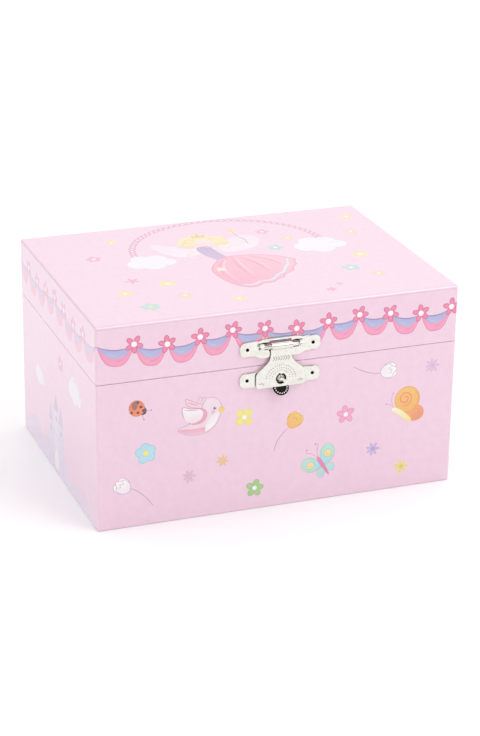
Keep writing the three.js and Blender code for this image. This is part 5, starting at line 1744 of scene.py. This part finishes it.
def winding_key():
    """A wing key: a grooved hub and two rounded wings, each with a hole."""
    start = corners("winding_key")[0].y
    hub_r, bore, vent, hub_length, bore_depth = 3.0, 1.62, 1.2, 9.5, 8.2
    hub = lathe([(radius, start + way) for radius, way in (
        (bore, 0), (hub_r - 0.3, 0), (hub_r, 0.3), (hub_r, 1.6), (hub_r - 0.45, 2.0), (hub_r - 0.45, 2.8),
        (hub_r, 3.2), (hub_r, hub_length - 0.6), (hub_r - 0.6, hub_length), (vent, hub_length),
        (vent, bore_depth), (bore, bore_depth))], 28, along("y", (KEY_AT.x, 0, KEY_AT.z)), closed=True)
    foot = start + 7.5
    half = [(2.7, foot)] + smooth([(x, foot + way) for x, way in (
        (4.0, 0.2), (7.4, 1.2), (10.4, 3.6), (11.1, 7.0), (9.6, 9.8), (6.4, 10.6), (3.2, 10.0),
        (0.6, 9.2))], 4, False)
    outline = mirrored(half, KEY_AT.x)
    eyes = [circle((KEY_AT.x + sign * 7.2, foot + 6.4), 2.0, 20) for sign in (-1, 1)]
    half_thick = 1.0
    # The wings are drawn as a stamped sheet and laid level: front becomes up.
    points, faces = stamped(outline, 0, half_thick, None, eyes, 0.7, 0.5)
    top = [(x, z, KEY_AT.z - y) for x, y, z in points]
    bottom = [(x, z, KEY_AT.z + y) for x, y, z in points]
    wings = merged((top, [f[::-1] for f in faces]), (bottom, faces))
    obj = add_mesh("winding_key_cast", *merged(hub, wings), ZINC, "winder", ["winding_key"], "zinc_casting")
    sharpen(obj, 40)


winding_key()

# ------------------------------------------------------------------ the inside


def covered_board(node, holes=(), softness=0.45):
    """A board wrapped in flocked paper, with soft edges. holes are (x, y, radius), upright through it."""
    low, high = corners(node)
    slab = slab_between(low, high)
    if holes:
        outline = [(low.x, low.y), (high.x, low.y), (high.x, high.y), (low.x, high.y)]
        place, index, _ = cut_sheet(outline, [], [], [circle((x, y), r, 24) for x, y, r in holes])
        slab = closed_sheet([(x, y, high.z) for x, y in place], [(x, y, low.z) for x, y in place], index)
    name = node.replace("dancer_", "") + "_board"
    bevelled(add_mesh(name, *slab, FLOCK, "base", [node], "lining"), softness)


def compartments():
    for divider in ("long_divider", "cross_divider", "ring_divider"):
        covered_board(divider)
    spindle, rod = middle("dancer_spindle"), middle("stop_rod")
    covered_board("dancer_deck", [(spindle.x, spindle.y, 2.0), (rod.x, rod.y, 1.2)], 0.35)


def ring_roll(number):
    """A foam roll in flocked cloth, swelled by a cloth simulation and pulled in at its ends."""
    low, high = corners(f"ring_roll_{number}")
    centre = (low + high) / 2
    radius, length = (high.z - low.z) / 2, high.x - low.x
    steps = 24
    profile = []
    for i in range(steps + 1):
        share = i / steps
        end = min(share, 1 - share) * length
        pull = 1 - 0.16 * math.exp(-end / 1.4)
        profile.append(((radius - 0.25) * pull, -length / 2 + 0.15 + (length - 0.3) * share))
    obj = add_mesh(f"ring_roll_pad_{number}", *lathe(profile, 36, along("x")), ROLL_FLOCK, "base",
                   [f"ring_roll_{number}"], "ring_foam")
    swell(obj)
    for vertex in obj.data.vertices:
        p = vertex.co / MM
        wander = 0.06 * math.sin(p.x * 0.9 + number) * math.cos(3 * math.atan2(p.z, p.y) + number)
        out = Vector((0, p.y, p.z)).normalized()
        p += out * wander
        reach = math.hypot(p.y, p.z)
        if reach > radius - 0.02:
            p.y *= (radius - 0.02) / reach
            p.z *= (radius - 0.02) / reach
        p.x = min(max(p.x, -length / 2), length / 2)
        vertex.co = (p + centre) * MM
    return obj


def swell(obj):
    """Blows a small pad up with Blender's cloth. The mesh is ten times its size while it is simulated."""
    scale = 10
    frames = 14
    scene = bpy.context.scene
    for vertex in obj.data.vertices:
        vertex.co *= scale
    remeshed(obj, 0.006)
    apply_modifiers(obj)
    rest = [v.co.copy() for v in obj.data.vertices]
    cloth = obj.modifiers.new("cloth", "CLOTH")
    cloth.settings.use_pressure = True
    cloth.settings.uniform_pressure_force = 4
    cloth.settings.effector_weights.gravity = 0
    cloth.point_cache.frame_start = 1
    cloth.point_cache.frame_end = frames
    for number in range(1, frames + 1):
        scene.frame_set(number)
    apply_modifiers(obj)
    scene.frame_set(1)
    cap = 0.0035  # the furthest that a point may move, at the larger size
    for vertex, start in zip(obj.data.vertices, rest):
        move = vertex.co - start
        if move.length > cap:
            vertex.co = start + move.normalized() * cap
    for vertex in obj.data.vertices:
        vertex.co /= scale
    smooth_shaded(subdivided(obj))


def ring_bed():
    """The padded bed under the rolls, crowned a little between its edges."""
    low, high = corners("ring_bed")
    size = high - low
    spans = 24
    side = spans + 1
    points = []
    for j in range(side):
        for i in range(side):
            a, b = i / spans, j / spans
            drop = 0.3 * (abs(2 * a - 1) ** 6 + abs(2 * b - 1) ** 6)
            points.append((low.x + size.x * a, low.y + size.y * b, high.z - drop))
    under = [(x, y, low.z) for x, y, _ in points]
    top = grid_faces(side, side)
    count = len(points)
    faces = top + [tuple(i + count for i in f[::-1]) for f in top]
    border = list(range(spans)) + [spans + side * j for j in range(spans)]
    border += [count - 1 - i for i in range(spans)] + [side * (spans - j) for j in range(spans)]
    for a, b in zip(border, border[1:] + border[:1]):
        faces.append((b, a, a + count, b + count))
    obj = add_mesh("ring_bed_pad", points + under, faces, FLOCK, "base", ["ring_bed"], "lining")
    sharpen(obj, 50)


def mirror_frame():
    """The gilt braid round the mirror: two strands twisted round each other, on a flat tape."""
    glass_high = corners("mirror")[1]
    low, high = corners("mirror_trim")
    band = high.x - glass_high.x
    half_x, half_y = glass_high.x + band * 0.5, glass_high.y + band * 0.5
    mid_z = (low.z + high.z) / 2 - 0.25
    wrap_line = Wrap(half_x, half_y, 1.6)
    around = wrap_line.end - wrap_line.start
    turns = round(around / 3.6)
    strands = []
    steps = turns * 10
    for phase in (0.0, math.pi):
        path = []
        for i in range(steps):
            spot, way = wrap_line.point(wrap_line.start + around * i / steps, 0)
            angle = TAU * turns * i / steps + phase
            spot = spot + way * (0.42 * math.cos(angle))
            path.append((spot.x, spot.y, mid_z + 0.34 * math.sin(angle)))
        strands.append(tube(path, 0.5, 8, closed=True))
    rows = [
        (-band * 0.46, high.z), (-band * 0.46, high.z - 0.5), (band * 0.46, high.z - 0.5),
        (band * 0.46, high.z)]
    tape_points = []
    columns = wrap_line.columns()[:-1]
    for inset, z in rows:
        for u in columns:
            spot, _ = wrap_line.point(u, inset)
            tape_points.append((spot.x, spot.y, z))
    tape = (tape_points, grid_faces(len(rows), len(columns), close_rows=True, close_columns=True))
    add_mesh("mirror_braid", *merged(tape, *strands), GILT, "lid", ["mirror_trim"], "mirror_trim")


compartments()
ring_bed()
for roll in range(1, 5):
    ring_roll(roll)
mirror_frame()

# ------------------------------------------------------------------ the dancer

BOW_JOINT = [j for j in frame["record"]["behaviour"]["joints"] if j["name"] == "dancer_bow"][0]
PIVOT = Vector(BOW_JOINT["pos_m"]) / MM
BOW = math.radians(BOW_JOINT["range_deg"][1])
SPRING_HALF = 4.0
HEAD_Z = 38.5
HEAD_R = (2.25, 2.5, 2.75)


def bowed(p):
    """From the dancer's own axes, with +Z up through her, to her place under the closed lid."""
    p = Vector(p)
    y = p.y * math.cos(BOW) - p.z * math.sin(BOW)
    z = p.y * math.sin(BOW) + p.z * math.cos(BOW)
    return PIVOT + Vector((p.x, y, z))


def dancer_piece(name, parts, look, replaced=(), slot="doll_plastic"):
    """A piece of the dancer, from parts made in the dancer's own axes."""
    points, faces = merged(*parts)
    return add_mesh(name, [bowed(p) for p in points], faces, look, "dancer", replaced, slot)


def elliptic(profile, sides):
    """A body from (height, half width, half depth, offset towards the front) rings."""
    points = []
    for height, wide, deep, forward in profile:
        for side in range(sides):
            angle = TAU * side / sides
            points.append((wide * math.cos(angle), -forward + deep * math.sin(angle), height))
    return points, grid_faces(len(profile), sides, close_columns=True) + ends(len(profile), sides)


def limb(joints):
    """A rounded limb through (x, y, z, radius) joints."""
    path = smooth([j[:3] for j in joints], 5, closed=False)
    radii = [r[0] for r in smooth([(j[3], 0) for j in joints], 5, closed=False)]
    return tube(path, radii, 14)


def melted(obj, voxel):
    """Runs touching parts of a figure into one smooth skin. voxel is in millimetres."""
    remeshed(obj, voxel * MM)
    soften = obj.modifiers.new("soften", "SMOOTH")
    soften.factor = 0.5
    soften.iterations = 5
    smooth_shaded(apply_modifiers(obj))


def dancer_arms():
    """Two arms, rounded over the head."""
    joints = (
        (1.9, 0.1, 32.6, 0.9), (3.0, 0.0, 33.4, 0.95), (4.8, -0.5, 36.0, 0.82), (6.1, -1.0, 38.6, 0.74),
        (5.2, -1.5, 41.6, 0.72), (3.6, -1.8, 44.0, 0.52), (2.3, -2.0, 45.4, 0.56), (1.1, -2.0, 46.0, 0.34))
    return [limb([(side * x, y, z, radius) for x, y, z, radius in joints]) for side in (-1, 1)]


def dancer_skin():
    """Head, neck, shoulders, arms and legs, melted into one figure, with a plain doll's face."""
    head = ball(1.0, (0, 0, HEAD_Z), 18, 26, HEAD_R)
    jaw = ball(1.0, (0, -0.55, 37.2), 12, 18, (1.5, 1.65, 1.35))
    nose = ball(1.0, (0, -2.52, 38.15), 8, 10, (0.24, 0.34, 0.4))
    ears = [ball(1.0, (side * 2.2, 0.2, 38.3), 8, 10, (0.24, 0.4, 0.55)) for side in (-1, 1)]
    neck = limb([(0, 0.3, 32.4, 1.35), (0, 0.2, 34.2, 0.95), (0, 0.1, 36.6, 0.95)])
    chest = elliptic([
        (28.4, 1.9, 1.3, 0.1), (30.2, 2.25, 1.6, 0.35), (31.8, 2.5, 1.45, 0.2), (33.0, 2.55, 1.15, 0),
        (33.9, 1.5, 0.9, -0.1)], 28)
    standing = limb([
        (0.2, 0, 24.6, 2.0), (0.45, 0, 21.5, 1.7), (0.35, -0.15, 17.2, 1.12), (0.2, 0.1, 13.6, 1.12),
        (0, 0, 10.6, 0.72), (0, 0, 9.0, 0.66)])
    raised = limb([
        (0.9, -0.2, 24.2, 1.75), (3.2, -1.5, 21.6, 1.45), (5.3, -2.6, 18.9, 1.02), (3.6, -1.9, 16.8, 0.98),
        (1.6, -1.2, 14.9, 0.62)])
    parts = [head, jaw, nose, *ears, neck, chest, standing, raised, *dancer_arms()]
    melted(dancer_piece("dancer_body", parts, SKIN, ["dancer_figure"]), 0.17)


def dancer_face():
    """Closed eyes, brows and a small mouth, painted as thin raised lines in even proportions."""
    eye_x, eye_z, mouth_z = 0.92, 38.35, 37.05
    half_turn = [math.pi * i / 8 for i in range(9)]

    def front(x, z, proud):
        """A point just proud of the face."""
        share = min((x / HEAD_R[0]) ** 2 + ((z - HEAD_Z) / HEAD_R[2]) ** 2, 0.98)
        return (x, -HEAD_R[1] * math.sqrt(1 - share) - proud, z)

    lines = []
    for side in (-1, 1):
        lid, brow = [], []
        for a in half_turn:
            lid.append(front(side * (eye_x + 0.42 * math.cos(a)), eye_z - 0.2 * math.sin(a), 0.03))
            brow.append(front(side * (eye_x + 0.5 * math.cos(a)), eye_z + 0.62 + 0.16 * math.sin(a), 0.02))
        lines.append(tube(lid, 0.075, 8))
        lines.append(tube(brow, 0.05, 8))
    dancer_piece("dancer_eyes", lines, FEATURE)
    mouth = []
    for i in range(9):
        x = -0.48 + 0.12 * i
        mouth.append((x, -2.14 - 0.1 * math.cos(x * 2.4), mouth_z + 0.18 * x * x))
    radii = [0.03 + 0.1 * math.sin(a) for a in half_turn]
    dancer_piece("dancer_mouth", [tube(mouth, radii, 8)], LIPS)


def dancer_hair():
    """A smooth cap of hair, cut back from the face, with a wound bun on top."""
    points, faces = ball(1.0, (0, 0.32, 38.95), 18, 28, (2.42, 2.5, 2.62))
    trimmed = [(x, max(y, -1.15 - 0.35 * max(z - 39.6, 0)), max(z, 37.6 - 0.5 * y)) for x, y, z in points]
    bun = ball(1.35, (0, 0.9, 41.9), 12, 20, (1, 1, 0.9))
    coil = []
    for i in range(48):
        angle = TAU * i / 16
        reach = 1.25 - 0.015 * i
        coil.append((reach * math.cos(angle), 0.9 + reach * math.sin(angle), 41.2 + 0.026 * i))
    wound = tube(coil, 0.28, 8)
    dancer_piece("dancer_hair", [(trimmed, faces), bun, wound], HAIR)


def dancer_dress():
    """The bodice, with a dipped neckline and a ribbon at the waist."""
    sides = 36
    rings = [(23.2, 2.55, 2.25, 0), (24.6, 2.6, 2.15, 0), (26.0, 2.2, 1.8, 0), (27.3, 1.98, 1.55, 0.05),
             (28.8, 2.12, 1.6, 0.2), (30.4, 2.5, 1.92, 0.4), (31.5, 2.72, 1.8, 0.25)]
    points, _ = elliptic(rings, sides)
    for side in range(sides):
        angle = TAU * side / sides
        front, behind = max(-math.sin(angle), 0), max(math.sin(angle), 0)
        x, y, z = points[side - sides]
        points[side - sides] = (x, y, z + 0.35 * math.cos(2 * angle) * front - 0.5 * behind)
    points += [(x * 0.93, y * 0.93, z - 0.02) for x, y, z in points[-sides:]]
    rows = len(rings) + 1
    faces = grid_faces(rows, sides, close_columns=True) + ends(rows, sides)
    subdivided(dancer_piece("dancer_bodice", [(points, faces)], BODICE))
    sash = lathe([(2.02, 26.9), (2.2, 27.1), (2.24, 27.5), (2.06, 27.8)], 32)
    sash = ([(x, y * 0.82, z) for x, y, z in sash[0]], sash[1])
    bow = (
        (0, 1.75, 27.3), (0.9, 2.0, 28.1), (2.0, 2.1, 27.9), (1.9, 2.1, 27.0), (0.8, 2.0, 26.9),
        (0, 1.75, 27.3))
    loops = []
    for side in (-1, 1):
        loops.append(tube(smooth([(side * x, y, z) for x, y, z in bow], 4, False), 0.26, 8, flatten=0.5))
    dancer_piece("dancer_sash", [sash, *loops, ball(0.34, (0, 1.9, 27.35), 8, 12)], SLIPPER)


def dancer_slippers():
    """The slippers, and the peg that the standing foot is fixed to."""
    standing = limb([
        (0, 0.0, 11.2, 0.8), (0, 0.05, 9.8, 0.86), (0, -0.1, 8.6, 0.84), (0, 0, 7.5, 0.55),
        (0, 0, 7.2, 0.42)])
    raised = limb([
        (1.9, -1.3, 15.3, 0.72), (1.3, -1.15, 14.6, 0.78), (0.8, -1.05, 13.6, 0.68), (0.6, -1.0, 12.6, 0.36)])
    dancer_piece("dancer_slippers", [standing, raised], SLIPPER)
    peg = lathe([(1.9, 7.2), (1.9, 7.7), (1.6, 8.0), (0.9, 8.1)], 28)
    dancer_piece("dancer_stand", [peg], TURNTABLE)


def tutu_layer(number, inner, outer, height, drop, ruffles, wave):
    """One ring of gathered net, a thin closed sheet that ruffles more towards its hem."""
    rings, sides, thick = 9, ruffles * 8, 0.07
    points = []
    for face in (thick / 2, -thick / 2):
        for ring in range(rings + 1):
            share = ring / rings
            radius = inner + (outer - inner) * share
            for side in range(sides):
                angle = TAU * side / sides
                ripple = wave * share ** 1.2 * math.sin(ruffles * angle + number)
                ripple += 0.3 * wave * share ** 2 * math.sin(ruffles * 2.3 * angle + 2 * number)
                z = height - drop * share ** 1.6 + ripple + face
                reach = radius + 0.12 * share * math.sin(ruffles * angle * 0.5 + number)
                points.append((reach * math.cos(angle), reach * math.sin(angle), z))
    count = (rings + 1) * sides
    top = grid_faces(rings + 1, sides, close_columns=True)
    faces = top + [tuple(i + count for i in f[::-1]) for f in top]
    for ring, flip in ((0, False), (rings, True)):
        for side in range(sides):
            a, b = ring * sides + side, ring * sides + (side + 1) % sides
            faces.append((a, b, b + count, a + count)[:: -1 if flip else 1])
    replaced = ["dancer_tutu"] if number == 1 else ()
    obj = dancer_piece(f"tutu_net_{number}", [(points, faces)], TULLE, replaced, "tulle")


def dancer_tutu():
    """The skirt, from its top layer down. Each is (outer radius, height at the waist, drop, wave)."""
    layers = (
        (12.9, 25.3, 1.6, 0.36), (12.7, 24.6, 1.7, 0.36), (12.5, 23.9, 1.8, 0.34), (12.3, 23.2, 1.9, 0.32))
    waist_r, ruffles = 2.35, 26
    for number, (outer, height, drop, wave) in enumerate(layers, 1):
        tutu_layer(number, waist_r, outer, height, drop, ruffles, wave)


def dancer_spring():
    """A coil spring wound along an arc, from the turntable's hub to the dancer's cup."""
    coil_r, wire_r, turns = 2.05, 0.3, 7
    arc_r = SPRING_HALF / math.tan(BOW / 2)
    steps = turns * 20
    path = []
    foot = PIVOT - Vector((0, 0, SPRING_HALF))
    for i in range(steps + 1):
        share = i / steps
        bend = share * BOW
        centre = foot + Vector((0, arc_r * (math.cos(bend) - 1), arc_r * math.sin(bend)))
        outward = Vector((0, math.cos(bend), math.sin(bend)))
        angle = TAU * turns * share
        across = Vector((coil_r * math.cos(angle), 0, 0))
        path.append(centre + across + outward * (coil_r * math.sin(angle)))
    obj = add_mesh("spring_coil", *tube(path, wire_r, 8), STEEL, None, ["dancer_spring"], "steel")
    top = bowed((0, 0, SPRING_HALF))
    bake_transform(obj)


dancer_skin()
dancer_face()
dancer_hair()
dancer_dress()
dancer_slippers()
dancer_tutu()
dancer_spring()

# ------------------------------------------------------------------ looks of the CAD nodes that stay

KEPT = {
    BACKING: ["bottom_board"],
    BOARD: [f"{side}_board" for side in (
        "front", "back", "left", "right", "lid_top", "lid_front", "lid_back", "lid_left", "lid_right")],
    FLOCK: ["base_lining", "lid_lining"],
    MIRROR: ["mirror"],
    ZINC: ["movement_bedplate", "spring_barrel", "governor_frame"],
    STEEL: ["mainspring", "winding_arbor", "music_comb", "stop_rod", "spring_cup"],
    BRASS: ["drive_wheel", "tune_cylinder", "cylinder_pinion", "cylinder_wheel"],
    NYLON: ["governor_wheel", "governor_fan", "dancer_spindle"],
    TURNTABLE: ["turntable"],
}
for look, names in KEPT.items():
    for name in names:
        slots = nodes[name].material_slots
        if not slots:
            nodes[name].data.materials.append(look)
        for slot in slots:
            slot.material = look

# ------------------------------------------------------------------ the studio


def studio():
    """A plain pale floor, a white room and one soft light from the right."""
    scene = bpy.context.scene
    scene.view_settings.view_transform = "Standard"
    g = Graph("studio_floor")
    tone = g.spread(g.noise(0.01, 2), colour("FAF9FA"), colour("FDFDFD"))
    g.bump(g.noise(0.4, 3), 0.02, 0.3)
    look = g.finish(Base_Color=tone, Roughness=0.75)
    size = 4000
    points = [(-size, -size, -0.05), (size, -size, -0.05), (size, size, -0.05), (-size, size, -0.05)]
    floor = add_mesh("studio_floor", points, [(0, 1, 2, 3)], look, None, smooth=False)

    world = bpy.data.worlds.new("studio")
    scene.world = world
    world.use_nodes = True
    tree = world.node_tree
    background = tree.nodes["Background"]
    background.inputs["Strength"].default_value = 1.15
    # The room is white but for the dark ceiling over the camera, which polished metal picks up.
    way = tree.nodes.new("ShaderNodeTexCoord")
    towards = tree.nodes.new("ShaderNodeVectorMath")
    towards.operation = "DOT_PRODUCT"
    towards.inputs[1].default_value = Vector((0.3, -0.66, 0.69)).normalized()
    tree.links.new(way.outputs["Generated"], towards.inputs[0])
    fade = tree.nodes.new("ShaderNodeMapRange")
    fade.interpolation_type = "SMOOTHSTEP"
    for name, value in (("From Min", 0.8), ("From Max", 0.97), ("To Min", 1.0), ("To Max", 0.06)):
        fade.inputs[name].default_value = value
    tree.links.new(towards.outputs["Value"], fade.inputs["Value"])
    tree.links.new(fade.outputs["Result"], background.inputs["Color"])

    def softbox(name, place, aim, width, height, watts):
        light = bpy.data.lights.new(name, "AREA")
        light.shape = "RECTANGLE"
        light.size = width * MM
        light.size_y = height * MM
        light.energy = watts
        obj = bpy.data.objects.new(name, light)
        scene.collection.objects.link(obj)
        obj.location = Vector(place) * MM
        obj.rotation_euler = (Vector(aim) - Vector(place)).to_track_quat("-Z", "Y").to_euler()

    softbox("key", (700, -900, 1300), (0, 0, 30), 900, 900, 9)


def camera():
    """The camera, from its azimuth, elevation and roll, its distance, and its slide from the middle."""
    azimuth, elevation, roll = (math.radians(a) for a in (-20.51, 22.195, 0.797))
    distance, slide_x, slide_y, aim_z = 902.31, -3.066, 5.989, 45
    back = Vector((
        math.sin(azimuth) * math.cos(elevation), -math.cos(azimuth) * math.cos(elevation),
        math.sin(elevation)))
    level = Vector((math.cos(azimuth), math.sin(azimuth), 0))
    upward = back.cross(level)
    right = level * math.cos(roll) + upward * math.sin(roll)
    up = upward * math.cos(roll) - level * math.sin(roll)
    data = bpy.data.cameras.new("camera")
    data.sensor_width = 36
    data.lens = 105.4
    obj = bpy.data.objects.new("camera", data)
    bpy.context.scene.collection.objects.link(obj)
    place = Vector((0, 0, aim_z)) - right * slide_x - up * slide_y + back * distance
    turn = Matrix((right, up, back)).transposed().to_4x4()
    obj.matrix_world = Matrix.Translation(place * MM) @ turn
    bpy.context.scene.camera = obj


studio()
camera()
